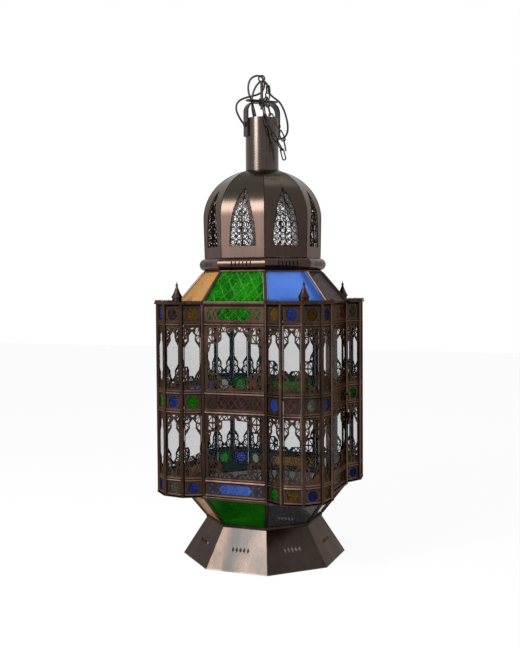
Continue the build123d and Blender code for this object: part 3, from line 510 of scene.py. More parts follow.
@dataclass(frozen=True)
class Moulded:
    """Moulded plastic or rubber sheath with a fine grain."""

    name: str
    base: Colour
    rough: float = 0.45

    PALE_GAIN = 1.6
    PALE_LIFT = 0.008
    HANDLED_SPAN = (0.4, 0.7)
    ROUGH_DROP = 0.08
    ROUGH_HANDLED = 0.2

    def material(self) -> Material:
        """Build the finish.

        Returns:
            The material.
        """
        g = Graph(bpy.data.materials.new(self.name))
        place = g.place()
        grain = g.noise(place, scale=900.0, detail=2.0)
        handling = g.noise(place, scale=40.0, detail=4.0)
        pale = tuple(c * self.PALE_GAIN + self.PALE_LIFT for c in self.base)
        return g.surface({
            "Base Color": g.mix(handling.ease(*self.HANDLED_SPAN), self.base, pale),
            "Roughness": self.rough - self.ROUGH_DROP + handling * self.ROUGH_HANDLED,
            "Normal": g.bump(grain, depth=0.0001, strength=0.4),
        })


@dataclass(frozen=True)
class Frosted:
    """Frosted bulb glass."""

    name: str
    base: Colour = (0.86, 0.86, 0.82)
    rough: float = 0.35

    DIM_SHARE = 0.88
    ROUGH_FROST = 0.15

    def material(self) -> Material:
        """Build the finish.

        Returns:
            The material.
        """
        g = Graph(bpy.data.materials.new(self.name))
        frost = g.noise(g.place(), scale=70.0, detail=4.0)
        dim = tuple(c * self.DIM_SHARE for c in self.base)
        return g.surface({
            "Base Color": g.mix(frost, dim, self.base),
            "Roughness": self.rough + frost * self.ROUGH_FROST,
            "Transmission Weight": 0.35,
            "IOR": 1.45,
            "Coat Weight": 0.4,
        })


class Paint:
    """The lantern's finishes, each made once."""

    COPPER = Patina("copper_patina", dark=(0.019, 0.011, 0.008), mid=(0.041, 0.023, 0.016),
                    warm=(0.07, 0.039, 0.028), rubbed=(0.15, 0.086, 0.062))
    SHEET = Patina("copper_sheet", dark=(0.012, 0.0072, 0.0045), mid=(0.024, 0.0142, 0.0095),
                   warm=(0.036, 0.0225, 0.016), rubbed=(0.052, 0.033, 0.024), rub=0.25, rough=0.21,
                   dents=0.017, dent_scale=10.0, coat=0.36, hem=True)
    DOME = Patina("copper_dome", dark=(0.024, 0.0112, 0.0072), mid=(0.038, 0.018, 0.0115),
                  warm=(0.052, 0.0255, 0.0165), rubbed=(0.08, 0.043, 0.029), rub=0.2, rough=0.22,
                  dents=0.0008, coat=0.42, crown=(0.026, 0.022, 0.013))
    NECK = Patina("copper_neck", dark=(0.021, 0.0115, 0.008), mid=(0.034, 0.019, 0.013),
                  warm=(0.047, 0.027, 0.0185), rub=0.15, rough=0.24, coat=0.8)
    # Lighter copper: on bevelled edges partly real wear and partly a painted highlight, on the upper slopes of rails a
    # painted highlight.
    WORN_EDGE_AND_HIGHLIGHT = Patina("copper_worn_edge_and_highlight", dark=(0.05, 0.03, 0.023), mid=(0.1, 0.061, 0.048),
                  warm=(0.15, 0.095, 0.075), rubbed=(0.25, 0.165, 0.135), rub=0.4, rough=0.36)
    # Painted highlight: a lighter copy of the copper for the left shoulders of the posts.
    SIDE_HIGHLIGHT = Patina("copper_side_highlight", dark=(0.05, 0.03, 0.022), mid=(0.1, 0.06, 0.045),
                   warm=(0.16, 0.098, 0.075), rubbed=(0.28, 0.185, 0.145), rub=0.4, rough=0.34)
    # Darker copy of the dome's copper for the lace bars, as painted shade.
    SHADED_LACE = Patina("copper_lace_shaded", dark=(0.009, 0.006, 0.005), mid=(0.016, 0.0105, 0.008),
                  warm=(0.03, 0.019, 0.015), rubbed=(0.07, 0.045, 0.035), rub=0.15, rough=0.38, coat=0.0)
    SEAM = Patina("copper_seam", dark=(0.012, 0.008, 0.006), mid=(0.022, 0.014, 0.01),
                  warm=(0.04, 0.025, 0.019), rub=0.2)
    TINNED = Patina("tinned_inside", dark=(0.7, 0.7, 0.69), mid=(0.82, 0.82, 0.81), warm=(0.88, 0.87, 0.85),
                    rubbed=(0.9, 0.9, 0.9), inner_shade_colour=(0.9, 0.9, 0.89), rough=0.45, coat=0.0)
    FITTING = Patina("copper_fitting", dark=(0.03, 0.018, 0.013), mid=(0.06, 0.036, 0.026),
                     warm=(0.1, 0.062, 0.046), inner_shade_colour=(0.05, 0.03, 0.022))
    CAP = Patina("cap_metal", dark=(0.4, 0.38, 0.34), mid=(0.55, 0.53, 0.48), warm=(0.66, 0.62, 0.54), rub=0.1)
    STEEL = Blackened("blackened_steel")
    GREEN = CathedralGlass("glass_green", deep=(0.001, 0.075, 0.001), light=(0.022, 0.31, 0.006),
                           emboss=Emboss.LATTICE, lattice_from=0.45)
    BLUE = CathedralGlass("glass_blue", deep=(0.012, 0.018, 0.12), light=(0.05, 0.08, 0.38))
    # Blue band glass of the main walls: lattice relief of its own, and painted lighter than the bays' blue glass as
    # painted light shining through from inside.
    LIT_WALL_BLUE = CathedralGlass("glass_blue_wall_lit", deep=(0.05, 0.1, 0.36), light=(0.13, 0.24, 0.7),
                            emboss=Emboss.LATTICE, pitch=0.02)
    # Blue glass of the sloped panes: smoother relief of its own, and painted lighter than the bands' blue glass as
    # painted light on the upward slope.
    LIT_ROOF_BLUE = CathedralGlass("glass_blue_roof_lit", deep=(0.1, 0.24, 0.74), light=(0.16, 0.36, 0.92), cell=90.0, sparkle=0.2)
    AMBER = CathedralGlass("glass_amber", deep=(0.075, 0.037, 0.006), light=(0.24, 0.132, 0.022))
    TAN = CathedralGlass("glass_tan", deep=(0.32, 0.155, 0.04), light=(0.5, 0.255, 0.07), sparkle=0.2, through=0.15)
    VIOLET = CathedralGlass("glass_violet", deep=(0.025, 0.01, 0.011), light=(0.085, 0.038, 0.038),
                            emboss=Emboss.LATTICE, pitch=0.014, sparkle=0.35)
    ROSE = CathedralGlass("glass_rose", deep=(0.055, 0.024, 0.023), light=(0.11, 0.055, 0.05), sparkle=0.15,
                          through=0.4)
    SMOKE = CathedralGlass("glass_smoke", deep=(0.14, 0.145, 0.115), light=(0.28, 0.29, 0.235), through=0.85)
    # Clear glass painted dark and nearly opaque: painted shade for the lower cone, standing in for the shadow inside
    # the foot.
    SHADED_CLEAR = ClearGlass("glass_clear_shaded", tint=(0.045, 0.047, 0.052), alpha=0.72)
    CLEAR = ClearGlass("glass_clear")
    SHEATH = Moulded("flex_sheath", base=(0.008, 0.008, 0.009), rough=0.42)
    HOLDER = Moulded("holder_plastic", base=(0.012, 0.012, 0.012), rough=0.38)
    FROST = Frosted("bulb_frost")

    @staticmethod
    @cache
    def get(finish: Any) -> Material:
        """Material of a finish, made at its first use."""
        return finish.material()


# Dressing of solids and making of meshes


def dress(node: str, finish: Any, edge: Any = None, bevel: float = 0.35) -> Piece:
    """Give a solid its finish, and worn edges with a painted highlight if asked.

    Args:
        node: The solid's name.
        finish: Finish of its faces.
        edge: Finish of its bevelled edges, partly wear and partly painted highlight, or none for no bevel.
        bevel: Width of the bevel in millimetres.

    Returns:
        The solid's object.
    """
    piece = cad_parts[node]
    piece.data.materials.clear()
    piece.data.materials.append(Paint.get(finish))
    if edge is not None:
        piece.data.materials.append(Paint.get(edge))
        weld = piece.modifiers.new("seal", "WELD")
        weld.merge_threshold = WELD_GAP
        # Bevel whose lighter finish is partly wear and partly a painted highlight.
        round_off = piece.modifiers.new("worn_and_highlit_edge", "BEVEL")
        round_off.width = bevel * MM
        round_off.segments = BEVEL_STEPS
        round_off.limit_method = "ANGLE"
        round_off.angle_limit = BEVEL_ANGLE
        round_off.material = 1
    log.info("dressed %s", node)
    return piece


def brighten(piece: Piece, finish: Any, chosen: Callable[[Vector, Vector], bool]) -> None:
    """Give a second finish to some faces of a solid.

    Args:
        piece: The solid's object.
        finish: The second finish.
        chosen: Whether a face takes it, by the face's middle and normal.
    """
    piece.data.materials.append(Paint.get(finish))
    for face in piece.data.polygons:
        if chosen(face.center, face.normal):
            face.material_index = len(piece.data.materials) - 1


def new_piece(
    name: str, points: Sequence[Vector], faces: Sequence[Sequence[int]], finish: Any, smooth: bool = False
) -> Piece:
    """Make a mesh piece that rides on the lantern.

    Args:
        name: The piece's name.
        points: Its corners, in metres.
        faces: Its faces, by corner.
        finish: Its finish.
        smooth: Whether its faces are shaded smooth.

    Returns:
        The piece.
    """
    mesh = bpy.data.meshes.new(name)
    mesh.from_pydata([tuple(p) for p in points], [], [tuple(f) for f in faces])
    mesh.update()
    mesh.materials.append(Paint.get(finish))
    if smooth:
        mesh.polygons.foreach_set("use_smooth", [True] * len(mesh.polygons))
    piece = bpy.data.objects.new(name, mesh)
    bpy.context.scene.collection.objects.link(piece)
    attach(piece, ROOT)
    log.info("made %s", name)
    return piece


def thicken(piece: Piece, depth: float) -> None:
    """Give a sheet its thickness, inwards.

    Args:
        piece: The sheet.
        depth: Its thickness, in millimetres.
    """
    solid = piece.modifiers.new("sheet", "SOLIDIFY")
    solid.thickness = depth * MM
    solid.offset = -1.0
    crease = piece.modifiers.new("crease", "EDGE_SPLIT")
    crease.split_angle = CREASE_ANGLE


def turned(turn: float, outward: float, sideways: float, height: float) -> Vector:
    """Point of a wall.

    Args:
        turn: Direction that the wall faces, in degrees from the front.
        outward: Distance out from the axis, in millimetres.
        sideways: Distance to the right along the wall, in millimetres.
        height: Height, in millimetres.

    Returns:
        The point, in metres.
    """
    a = math.radians(turn)
    x = outward * math.sin(a) + sideways * math.cos(a)
    y = -outward * math.cos(a) + sideways * math.sin(a)
    return Vector((x, y, height)) * MM


def inside(point: Point, loop: Sequence[Point]) -> bool:
    """Tell whether a flat point lies inside a closed loop.

    Args:
        point: The point.
        loop: Corners of the loop, in order.

    Returns:
        Whether it lies inside.
    """
    x, y = point
    hit = False
    for (x0, y0), (x1, y1) in zip(loop, list(loop[1:]) + [loop[0]]):
        if (y0 > y) != (y1 > y) and x < x0 + (x1 - x0) * (y - y0) / (y1 - y0):
            hit = not hit
    return hit


# Sub-assemblies


@dataclass
class Base:
    """Flared foot: panels, hem and waist ring."""

    panels: str = "base_panels"
    hem: str = "base_hem"
    waist: str = "waist_ring"
    panel_bevel: float = 0.5

    def dress(self) -> None:
        """Give the foot its finishes."""
        dress(self.panels, Paint.SHEET, Paint.WORN_EDGE_AND_HIGHLIGHT, self.panel_bevel)
        dress(self.hem, Paint.COPPER, Paint.WORN_EDGE_AND_HIGHLIGHT)
        dress(self.waist, Paint.SEAM)


@dataclass
class Cabin:
    """Glazed walls and bays: posts, rings, rails, pierced plates and panes."""

    posts: tuple[str, ...] = ("core_posts", "bay_posts")
    rings: tuple[str, ...] = ("sill_ring", "eave_ring")
    rails: tuple[str, ...] = ("main_rails", "bay_rails", "door_rails")
    plates: tuple[str, ...] = ("main_band_plates", "bay_band_plates", "main_screens", "bay_screens", "door_screens")
    covers: tuple[str, ...] = ("bay_floors", "bay_caps", "bay_crests", "finials")
    windows: tuple[str, ...] = ("main_panes", "bay_panes", "door_panes")
    bands: dict[str, Any] = field(default_factory=lambda: {
        "band_glass_green": Paint.GREEN, "band_glass_blue": Paint.BLUE, "band_glass_amber": Paint.AMBER,
        "band_glass_violet": Paint.VIOLET, "band_glass_clear": Paint.SMOKE, "door_band_glass": Paint.AMBER,
    })
    ring_bevel: float = 0.7
    wall_reach: float = 0.165
    slope_span: Span = (0.2, 0.9)
    shoulder_span: Span = (0.5, 0.95)
    shoulder_facing: float = 0.2

    def in_wall(self, middle: Vector, normal: Vector) -> bool:
        """Whether a face belongs to a main wall and not to a bay; there the blue band glass is painted lighter."""
        return middle.xy.length < self.wall_reach

    def lit_top(self, middle: Vector, normal: Vector) -> bool:
        """Whether a face is the upper slope of a ridge, which gets a painted highlight."""
        return self.slope_span[0] < normal.z < self.slope_span[1]

    def lit_side(self, middle: Vector, normal: Vector) -> bool:
        """Tell whether a face is on the left shoulder of a post, as seen from outside, which gets a painted highlight.

        Args:
            middle: The face's middle.
            normal: Its normal.

        Returns:
            Whether it is.
        """
        out = Vector((middle.x, middle.y)).normalized()
        left = Vector((out.y, -out.x))
        low, high = self.shoulder_span
        return low < left.dot(normal.xy) < high and out.dot(normal.xy) > self.shoulder_facing

    def dress(self) -> None:
        """Give the cabin its finishes."""
        for post in self.posts:
            # Painted highlight on the left shoulder of each post.
            brighten(dress(post, Paint.COPPER), Paint.SIDE_HIGHLIGHT, self.lit_side)
        for rail in self.rails:
            # Painted highlight on the upper slopes of the rails.
            brighten(dress(rail, Paint.COPPER), Paint.WORN_EDGE_AND_HIGHLIGHT, self.lit_top)
        for ring in self.rings:
            dress(ring, Paint.COPPER, Paint.WORN_EDGE_AND_HIGHLIGHT, self.ring_bevel)
        for plate in self.plates + self.covers:
            dress(plate, Paint.COPPER)
        for window in self.windows:
            dress(window, Paint.CLEAR)
        for band, finish in self.bands.items():
            dress(band, finish)
        # Painted light: the main walls' blue bands get a lighter copy of the blue glass.
        brighten(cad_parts["band_glass_blue"], Paint.LIT_WALL_BLUE, self.in_wall)


@dataclass
class Slopes:
    """Roof and lower cone: hip bars and panes."""

    bars: tuple[str, ...] = ("cone_hips", "roof_hips", "crown_ring")
    panes: dict[str, Any] = field(default_factory=lambda: {
        # The blue sloped panes take the lighter blue glass, as painted light.
        "sloped_panes_green": Paint.GREEN, "sloped_panes_blue": Paint.LIT_ROOF_BLUE, "sloped_panes_amber": Paint.TAN,
        "sloped_panes_rose": Paint.ROSE, "sloped_panes_clear": Paint.CLEAR,
    })
    cone_below: float = 0.3

    def in_cone(self, middle: Vector, normal: Vector) -> bool:
        """Whether a face belongs to the lower cone and not to the roof; there the clear glass is painted dark as
        painted shade.
        """
        return middle.z < self.cone_below

    def dress(self) -> None:
        """Give the slopes their finishes."""
        for bar in self.bars:
            dress(bar, Paint.COPPER, Paint.WORN_EDGE_AND_HIGHLIGHT)
        for pane, finish in self.panes.items():
            dress(pane, finish)
        # Painted shade: the lower cone's clear panes get the darkened glass.
        brighten(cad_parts["sloped_panes_clear"], Paint.SHADED_CLEAR, self.in_cone)


@dataclass(frozen=True)
class Lace:
    """Scrolled ribbons that fill a window, in millimetres, degrees and shares."""

    scroll: float = 14.0
    ribbon: float = 1.9
    margin: float = 0.6
    row_share: float = 0.86
    first_row_share: float = 0.45
    radius_share: float = 0.56
    close_share: float = 0.72
    thin_share: float = 0.45
    rim_share: float = 1.2
    stem_share: float = 0.8
    sheet_share: float = 0.75
    sink: float = 0.15
    mirror_past: float = 0.1
    first_turn: float = 40.0
    row_turn: float = 70.0
    next_turn: float = 25.0
    half_turns: float = 3.3
    scroll_steps: int = 22
    stem_steps: int = 20

    def spiral(self, x: float, s: float, radius: float, start: float, spin: float) -> Ribbon:
        """Lay out one scroll.

        Args:
            x: Middle of the scroll, across the gore.
            s: Middle of the scroll, along the gore.
            radius: Its outer radius.
            start: Angle of its outer end, in radians.
            spin: 1 to curl anticlockwise, -1 to curl clockwise.

        Returns:
            Its points, with the ribbon's width at each.
        """
        line = []
        for j in range(self.scroll_steps + 1):
            t = j / self.scroll_steps
            r = radius * (1 - self.close_share * t)
            a = start + spin * t * self.half_turns * math.pi
            line.append((x + r * math.cos(a), s + r * math.sin(a), self.ribbon * (1 - self.thin_share * t)))
        return line


@dataclass
class Dome:
    """Eight gores with a cypress window of scrolled lace in each, over a pierced ring."""

    side_count: int = 8
    foot_apothem: float = 111.0
    apothem: float = 112.6
    low: float = 615.5
    wall_rise: float = 81.5
    arc: float = 101.0
    neck: float = 34.2
    sheet: float = 1.2
    seam: float = 0.05
    border_steps: int = 30
    crown_steps: int = 8
    grid_rows: int = 60
    grid_columns: int = 10
    merge_gap: float = 1e-5
    sill: float = 22.0
    window_rise: float = 122.0
    window_width: float = 57.0
    taper: float = 2.3
    scallops: int = 26
    bite: float = 0.9
    dot: float = 1.5
    dot_count: int = 3
    dot_sides: int = 8
    dot_pitch: float = 6.5
    first_dot_share: float = 0.6
    dot_shrink_share: float = 0.18
    fold: float = 0.9
    fold_sink_share: float = 0.4
    fold_steps: int = 44
    fold_sides: int = 5
    lace: Lace = Lace()

    @property
    def turns(self) -> list[float]:
        """Directions that the gores face, in degrees from the front."""
        return [360.0 * k / self.side_count for k in range(self.side_count)]

    @property
    def slope(self) -> float:
        """Half width of a gore for each unit of its apothem."""
        return math.tan(math.pi / self.side_count)

    @property
    def corner_rise(self) -> float:
        """Distance along the gore at which its corners meet the neck."""
        return self.reach(self.neck * math.cos(math.pi / self.side_count))

    def profile(self, s: float) -> Point:
        """Follow the gore up from its foot.

        Args:
            s: Distance along the gore.

        Returns:
            Apothem and height there.
        """
        if s <= self.wall_rise:
            share = s / self.wall_rise
            return self.foot_apothem + (self.apothem - self.foot_apothem) * share, self.low + s
        a = self.lean(s)
        return self.apothem - self.arc * (1 - math.cos(a)), self.low + self.wall_rise + self.arc * math.sin(a)

    def lean(self, s: float) -> float:
        """Angle by which the gore leans in at a distance along it, in radians."""
        return max(0.0, s - self.wall_rise) / self.arc

    def reach(self, outward: float) -> float:
        """Distance along the gore at which its apothem has come in to a value."""
        a = math.acos((outward - self.apothem + self.arc) / self.arc)
        return self.wall_rise + self.arc * a

    def edge(self, s: float) -> float:
        """Half width of the gore at a distance along it, less the seam."""
        return self.profile(s)[0] * self.slope - self.seam

    def on_gore(self, turn: float, x: float, s: float, lift: float = 0.0) -> Vector:
        """Point on the gore that faces a direction, at a distance across, along and off it."""
        (outward, height), a = self.profile(s), self.lean(s)
        return turned(turn, outward + lift * math.cos(a), x, height + lift * math.sin(a))

    def half(self, s: float) -> float:
        """Half width of the window at a distance along the gore."""
        share = min(1.0, max(0.0, (s - self.sill) / self.window_rise))
        return self.window_width / 2 * (1 - share**self.taper)

    def window(self) -> list[Point]:
        """Lay out the cypress window, scalloped along its sides.

        Returns:
            Its outline, laid flat.
        """
        right = []
        for k in range(self.scallops):
            s = self.sill + self.window_rise * k / self.scallops
            bite = self.bite if k % 2 else 0.0
            right.append((self.half(s) - bite, s))
        tip = (0.0, self.sill + self.window_rise)
        return right + [tip] + [(-x, s) for x, s in reversed(right)]

    def outline(self) -> list[Point]:
        """Lay out a whole gore.

        Returns:
            Its outline, laid flat.
        """
        right = []
        for k in range(self.border_steps + 1):
            s = self.corner_rise * k / self.border_steps
            right.append((self.edge(s), s))
        crown = []
        corner = right[-1][0]
        for k in range(1, self.crown_steps):
            x = corner - 2 * corner * k / self.crown_steps
            crown.append((x, self.reach(math.sqrt(self.neck**2 - x**2))))
        return right + crown + [(-x, s) for x, s in reversed(right)]

    def dots(self) -> list[list[Point]]:
        """Lay out the small round holes above the window's tip.

        Returns:
            Their outlines, laid flat.
        """
        loops = []
        for k in range(self.dot_count):
            middle = self.sill + self.window_rise + self.dot_pitch * (k + self.first_dot_share)
            radius = self.dot * (1 - self.dot_shrink_share * k)
            turns = [2 * math.pi * t / self.dot_sides for t in range(self.dot_sides)]
            loops.append([(radius * math.cos(a), middle + radius * math.sin(a)) for a in turns])
        return loops

    def flat_gore(self) -> tuple[list[Point], list[Face]]:
        """Mesh a gore laid flat, with its window and dots left open.

        Returns:
            Its corners and faces.
        """
        border = self.outline()
        holes = [self.window()] + self.dots()
        points: list[Point] = []
        edges: list[tuple[int, int]] = []
        for loop in [border] + holes:
            start = len(points)
            points += loop
            edges += [(start + k, start + (k + 1) % len(loop)) for k in range(len(loop))]
        top = max(s for _, s in border)
        for k in range(1, self.grid_rows):
            s = top * k / self.grid_rows
            wide = self.edge(s)
            for x in (wide * (2 * j / self.grid_columns - 1) for j in range(1, self.grid_columns)):
                if not any(inside((x, s), hole) for hole in holes):
                    points.append((x, s))
        out = delaunay_2d_cdt([Vector(p) for p in points], edges, [], 0, self.merge_gap)
        flat = [(p.x, p.y) for p in out[0]]
        faces = []
        for face in out[2]:
            middle = (sum(flat[i][0] for i in face) / len(face), sum(flat[i][1] for i in face) / len(face))
            if inside(middle, border) and not any(inside(middle, hole) for hole in holes):
                faces.append(tuple(face))
        return flat, faces

    def ribbons(self) -> list[Ribbon]:
        """Lay out the lace of a window: rows of scrolls, a rim and a stem.

        Returns:
            Its ribbons, laid flat, with the width at each point.
        """
        lace = self.lace
        lines: list[Ribbon] = []
        for row in range(int(self.window_rise / (lace.scroll * lace.row_share))):
            s = self.sill + lace.scroll * (lace.first_row_share + lace.row_share * row)
            room = self.half(s) - lace.margin
            count = max(1, round(2 * room / lace.scroll))
            pitch = 2 * room / count
            radius = min(pitch, lace.scroll) * lace.radius_share
            for k in range(count):
                x = (k + 0.5) * pitch - room
                spin = 1.0 if x > lace.mirror_past else -1.0
                start = math.radians(lace.first_turn + lace.row_turn * row + lace.next_turn * k * spin)
                lines.append(lace.spiral(x, s, radius, start, spin))
        window = self.window()
        lines.append([(x, s, lace.ribbon * lace.rim_share) for x, s in window + window[:1]])
        rises = [self.sill + self.window_rise * k / lace.stem_steps for k in range(lace.stem_steps + 1)]
        lines.append([(0.0, s, lace.ribbon * lace.stem_share) for s in rises])
        return lines

    def make_gores(self) -> None:
        """Make the gores, which stand for the plain ones."""
        flat, faces = self.flat_gore()
        points: list[Vector] = []
        every: list[Face] = []
        for turn in self.turns:
            start = len(points)
            points += [self.on_gore(turn, x, s) for x, s in flat]
            every += [tuple(start + i for i in face) for face in faces]
        gores = new_piece("dome_skin", points, every, Paint.DOME, smooth=True)
        gores.data.materials.append(Paint.get(Paint.TINNED))
        thicken(gores, self.sheet)
        gores.modifiers["sheet"].material_offset = 1
        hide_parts("dome_gores")

    def make_lace(self) -> None:
        """Make the lace in the windows."""
        points: list[Vector] = []
        faces: list[Face] = []
        ribbons = self.ribbons()
        for turn in self.turns:
            for line in ribbons:
                start = len(points)
                for i, (x, s, width) in enumerate(line):
                    x0, s0, _ = line[max(0, i - 1)]
                    x1, s1, _ = line[min(len(line) - 1, i + 1)]
                    run = math.hypot(x1 - x0, s1 - s0) or 1.0
                    nx, ns = (s0 - s1) / run * width / 2, (x1 - x0) / run * width / 2
                    points.append(self.on_gore(turn, x - nx, s - ns, -self.lace.sink))
                    points.append(self.on_gore(turn, x + nx, s + ns, -self.lace.sink))
                faces += [(i, i + 2, i + 3, i + 1) for i in range(start, len(points) - 2, 2)]
        # The lace takes the darker copper, as painted shade.
        lace = new_piece("dome_lace", points, faces, Paint.SHADED_LACE)
        thicken(lace, self.sheet * self.lace.sheet_share)

    def make_seams(self) -> None:
        """Make the folded seams between the gores."""
        points: list[Vector] = []
        faces: list[Face] = []
        steps, sides = self.fold_steps, self.fold_sides
        for k in range(self.side_count):
            turn = 360.0 * (k + 0.5) / self.side_count
            start = len(points)
            for i in range(steps + 1):
                s = self.corner_rise * i / steps
                outward, height = self.profile(s)
                corner = outward / math.cos(math.pi / self.side_count)
                rise, run = math.sin(self.lean(s)), math.cos(self.lean(s))
                for j in range(sides):
                    a = math.pi * j / (sides - 1)
                    lift = self.fold * (math.sin(a) - self.fold_sink_share)
                    points.append(turned(turn, corner + lift * run, -self.fold * math.cos(a), height + lift * rise))
            for i in range(steps):
                for j in range(sides - 1):
                    a = start + i * sides + j
                    faces.append((a, a + 1, a + sides + 1, a + sides))
        new_piece("dome_seams", points, faces, Paint.SEAM, smooth=True)

    def dress(self) -> None:
        """Make the gores, their lace and seams, and finish the ring."""
        self.make_gores()
        self.make_lace()
        self.make_seams()
        dress("dome_ring", Paint.DOME)


@dataclass
class HangingGear:
    """Neck tube, strap, bolts, spreader bar, eye and chain."""

    steel: tuple[str, ...] = ("hanger_strap", "strap_bolts", "lock_nuts", "spreader_bar", "eye_bolt", "chain_upper",
                              "chain_tail")
    seam_turn: float = 43.0
    seam_arc: float = 15.0
    seam_steps: int = 8
    radius: float = 34.1
    low: float = 796.5
    high: float = 902.5
    lap: float = 0.7

    def make_seam(self) -> None:
        """Make the lapped seam up the neck."""
        points: list[Vector] = []
        for k in range(self.seam_steps + 1):
            turn = self.seam_turn + self.seam_arc * (k / self.seam_steps - 0.5)
            points += [turned(turn, self.radius + self.lap, 0.0, z) for z in (self.low, self.high)]
        faces = [(i, i + 2, i + 3, i + 1) for i in range(0, len(points) - 2, 2)]
        seam = new_piece("neck_seam", points, faces, Paint.NECK, smooth=True)
        thicken(seam, self.lap)

    def dress(self) -> None:
        """Finish the gear and add the neck's seam."""
        dress("neck_tube", Paint.NECK)
        self.make_seam()
        for node in self.steel:
            dress(node, Paint.STEEL)


@dataclass
class Flex:
    """Supply flex, looped about the hanging gear and tucked back into the neck."""

    diameter: float = 4.2
    length: float = 670.0
    lay_turn: float = 20.98
    order: int = 3
    line_steps: int = 8
    round_steps: int = 5
    route: tuple[tuple[float, float, float], ...] = (
        (0, 0, 840), (-3, 2, 857), (-8, 5, 875), (-13, 7.5, 893), (-17.5, 8, 911), (-20.2, 8.5, 929),
        (-20.8, 8.5, 945), (-18, 8.5, 959), (-13.2, 8.8, 970), (-7.5, 9.2, 978.3), (-0.4, 9.7, 983),
        (7, 10.6, 982.2), (12, 11.6, 976.5), (13.5, 12.3, 968.5), (15.5, 12.9, 960), (20.5, 13.6, 953),
        (28.5, 14.3, 947.5), (38, 15.2, 940), (46, 14.5, 925), (51.5, 13, 907), (54.5, 12.5, 889),
        (52.5, 16, 874), (44, 26, 866.5), (28, 39, 868), (10, 46, 874), (-10, 46.5, 881), (-28, 39, 889.5),
        (-40, 27.5, 900), (-48, 18, 912), (-53.5, 13.5, 924), (-53, 12, 936), (-46, 12, 944.5),
        (-35, 12.8, 949.5), (-22, 14.5, 953), (-8.5, 17.5, 956.5), (1, 19.3, 963), (5.5, 20, 973),
        (6, 20, 984), (1.5, 19.6, 993), (-7, 19.5, 997), (-16.5, 19.7, 995), (-24.5, 20.2, 988.5),
        (-28.5, 21, 976), (-27.5, 22, 961), (-21.5, 22, 947), (-17.5, 20.5, 932), (-14, 18, 917),
        (-11, 15, 901), (-8.5, 12.5, 886),
    )

    def make(self) -> None:
        """Make the flex as one smooth line."""
        curve = bpy.data.curves.new("supply_flex_line", "CURVE")
        curve.dimensions = "3D"
        curve.bevel_depth = self.diameter / 2 * MM
        curve.bevel_resolution = self.round_steps
        curve.use_fill_caps = True
        spline = curve.splines.new("NURBS")
        spline.points.add(len(self.route) - 1)
        turn = Matrix.Rotation(math.radians(self.lay_turn), 3, "Z")
        points = [turn @ Vector(p) * MM for p in self.route]
        for knot, point in zip(spline.points, points):
            knot.co = (*point, 1.0)
        spline.order_u = self.order
        spline.use_endpoint_u = True
        spline.resolution_u = self.line_steps
        curve.materials.append(Paint.get(Paint.SHEATH))
        flex = bpy.data.objects.new("flex_line", curve)
        bpy.context.scene.collection.objects.link(flex)
        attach(flex, ROOT)
        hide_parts("supply_flex")
        log.info("made flex_line")


@dataclass
class Lamp:
    """Bracket, pipe, lampholder and bulb inside the neck and dome."""

    steel: tuple[str, ...] = ("lamp_bracket", "lamp_pipe")

    def dress(self) -> None:
        """Give the lamp its finishes."""
        for node in self.steel:
            dress(node, Paint.STEEL)
        dress("inner_lead", Paint.SHEATH)
        dress("lampholder", Paint.HOLDER)
        dress("bulb_cap", Paint.CAP)
        dress("bulb_glass", Paint.FROST)


@dataclass
class Door:
    """Frame, hinges, knob and turn button of the hinged wall."""

    fittings: tuple[str, ...] = ("door_fittings", "post_fittings", "door_knob", "turn_button")

    def dress(self) -> None:
        """Give the door its finishes."""
        dress("door_frame", Paint.COPPER)
        for node in self.fittings:
            dress(node, Paint.FITTING)
        dress("hinge_pins", Paint.STEEL)


# Studio


@dataclass(frozen=True)
class SoftBox:
    """Rectangular soft lamp, in metres and watts."""

    name: str
    place: Colour
    aim: Colour
    size: tuple[float, float]
    power: float

    def light(self) -> None:
        """Set up the lamp, turned to its aim."""
        data = bpy.data.lights.new(self.name, "AREA")
        data.shape = "RECTANGLE"
        data.size, data.size_y = self.size
        data.energy = self.power
        lamp = bpy.data.objects.new(self.name, data)
        lamp.location = self.place
        lamp.rotation_euler = (Vector(self.aim) - Vector(self.place)).to_track_quat("-Z", "Y").to_euler()
        bpy.context.scene.collection.objects.link(lamp)


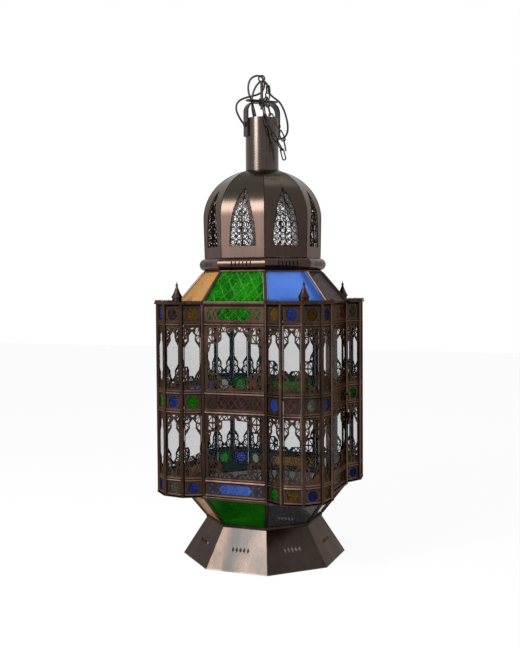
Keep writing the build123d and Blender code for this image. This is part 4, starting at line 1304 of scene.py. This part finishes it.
@dataclass
class Studio:
    """Pale floor, soft light, white surround and the camera."""

    camera_place: Colour = (0.6885, -1.8140, 0.5590)
    azimuth: float = 20.98
    pitch: float = -2.41
    roll: float = -0.37
    lens: float = 51.56
    sensor: float = 36.0
    nearest: float = 0.05
    ambient: float = 0.28
    floor_reach: float = 6.0
    floor_drop: float = 0.0004
    floor_colour: Colour = (0.88, 0.88, 0.88)
    glow: float = 1.04
    glow_share: float = 0.9
    glow_span: Span = (0.125, 0.15)
    lamps: tuple[SoftBox, ...] = (
        SoftBox("key", place=(-0.47, -1.24, 1.26), aim=(0.0, 0.0, 0.5), size=(0.5, 0.52), power=20.0),
        SoftBox("low", place=(-0.47, -1.24, 0.76), aim=(0.0, 0.0, 0.6), size=(0.5, 0.44), power=4.0),
        SoftBox("top", place=(0.2, 0.3, 2.6), aim=(0.0, 0.0, 0.4), size=(1.2, 1.2), power=6.0),
    )

    def world(self) -> None:
        """White surround for the camera and in reflections, and a softer one as light."""
        world = bpy.data.worlds.new("surround")
        bpy.context.scene.world = world
        g = Graph(world)
        soft = g.node("ShaderNodeBackground", {}, {"Color": WHITE, "Strength": self.ambient})
        white = g.node("ShaderNodeBackground", {}, {"Color": WHITE, "Strength": 1.0})
        mix = g.node("ShaderNodeMixShader", {}, {0: g.seen(), 1: soft.outputs[0], 2: white.outputs[0]})
        g.node("ShaderNodeOutputWorld", {}, {"Surface": mix.outputs[0]})

    def floor(self) -> None:
        """Pale floor that keeps the lantern's shadow."""
        mesh = bpy.data.meshes.new("floor")
        reach = self.floor_reach
        corners = [(-reach, -reach, 0), (reach, -reach, 0), (reach, reach, 0), (-reach, reach, 0)]
        mesh.from_pydata(corners, [], [(0, 1, 2, 3)])
        g = Graph(bpy.data.materials.new("pale_floor"))
        matt = g.node("ShaderNodeBsdfDiffuse", {}, {"Color": self.floor_colour})
        glow = g.node("ShaderNodeEmission", {}, {"Color": WHITE, "Strength": self.glow})
        away = g.measure("LENGTH", g.scaled(g.place(), LEVEL))
        share = g.seen() * away.ease(*self.glow_span) * self.glow_share
        mix = g.node("ShaderNodeMixShader", {}, {0: share, 1: matt.outputs[0], 2: glow.outputs[0]})
        g.node("ShaderNodeOutputMaterial", {}, {"Surface": mix.outputs[0]})
        mesh.materials.append(g.owner)
        floor = bpy.data.objects.new("floor", mesh)
        floor.location.z = -self.floor_drop
        bpy.context.scene.collection.objects.link(floor)

    def camera(self) -> None:
        """Camera at the photograph's view."""
        data = bpy.data.cameras.new("view")
        data.lens = self.lens
        data.sensor_width = self.sensor
        data.clip_start = self.nearest
        camera = bpy.data.objects.new("view", data)
        look = Matrix.Rotation(math.radians(self.azimuth), 4, "Z")
        tilt = Matrix.Rotation(math.radians(90.0 + self.pitch), 4, "X")
        roll = Matrix.Rotation(math.radians(self.roll), 4, "Z")
        camera.matrix_world = Matrix.Translation(self.camera_place) @ look @ tilt @ roll
        bpy.context.scene.collection.objects.link(camera)
        bpy.context.scene.camera = camera

    def build(self) -> None:
        """Set up the whole studio."""
        bpy.context.scene.view_settings.view_transform = "Standard"
        self.world()
        self.floor()
        for lamp in self.lamps:
            lamp.light()
        self.camera()


def main() -> None:
    """Build the studio and dress the lantern."""
    logging.basicConfig(level=logging.INFO, format="%(name)s: %(message)s")
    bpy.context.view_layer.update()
    Studio().build()
    Flex().make()
    for part in (Base(), Cabin(), Slopes(), Dome(), HangingGear(), Lamp(), Door()):
        part.dress()


if __name__ == "__main__":
    main()
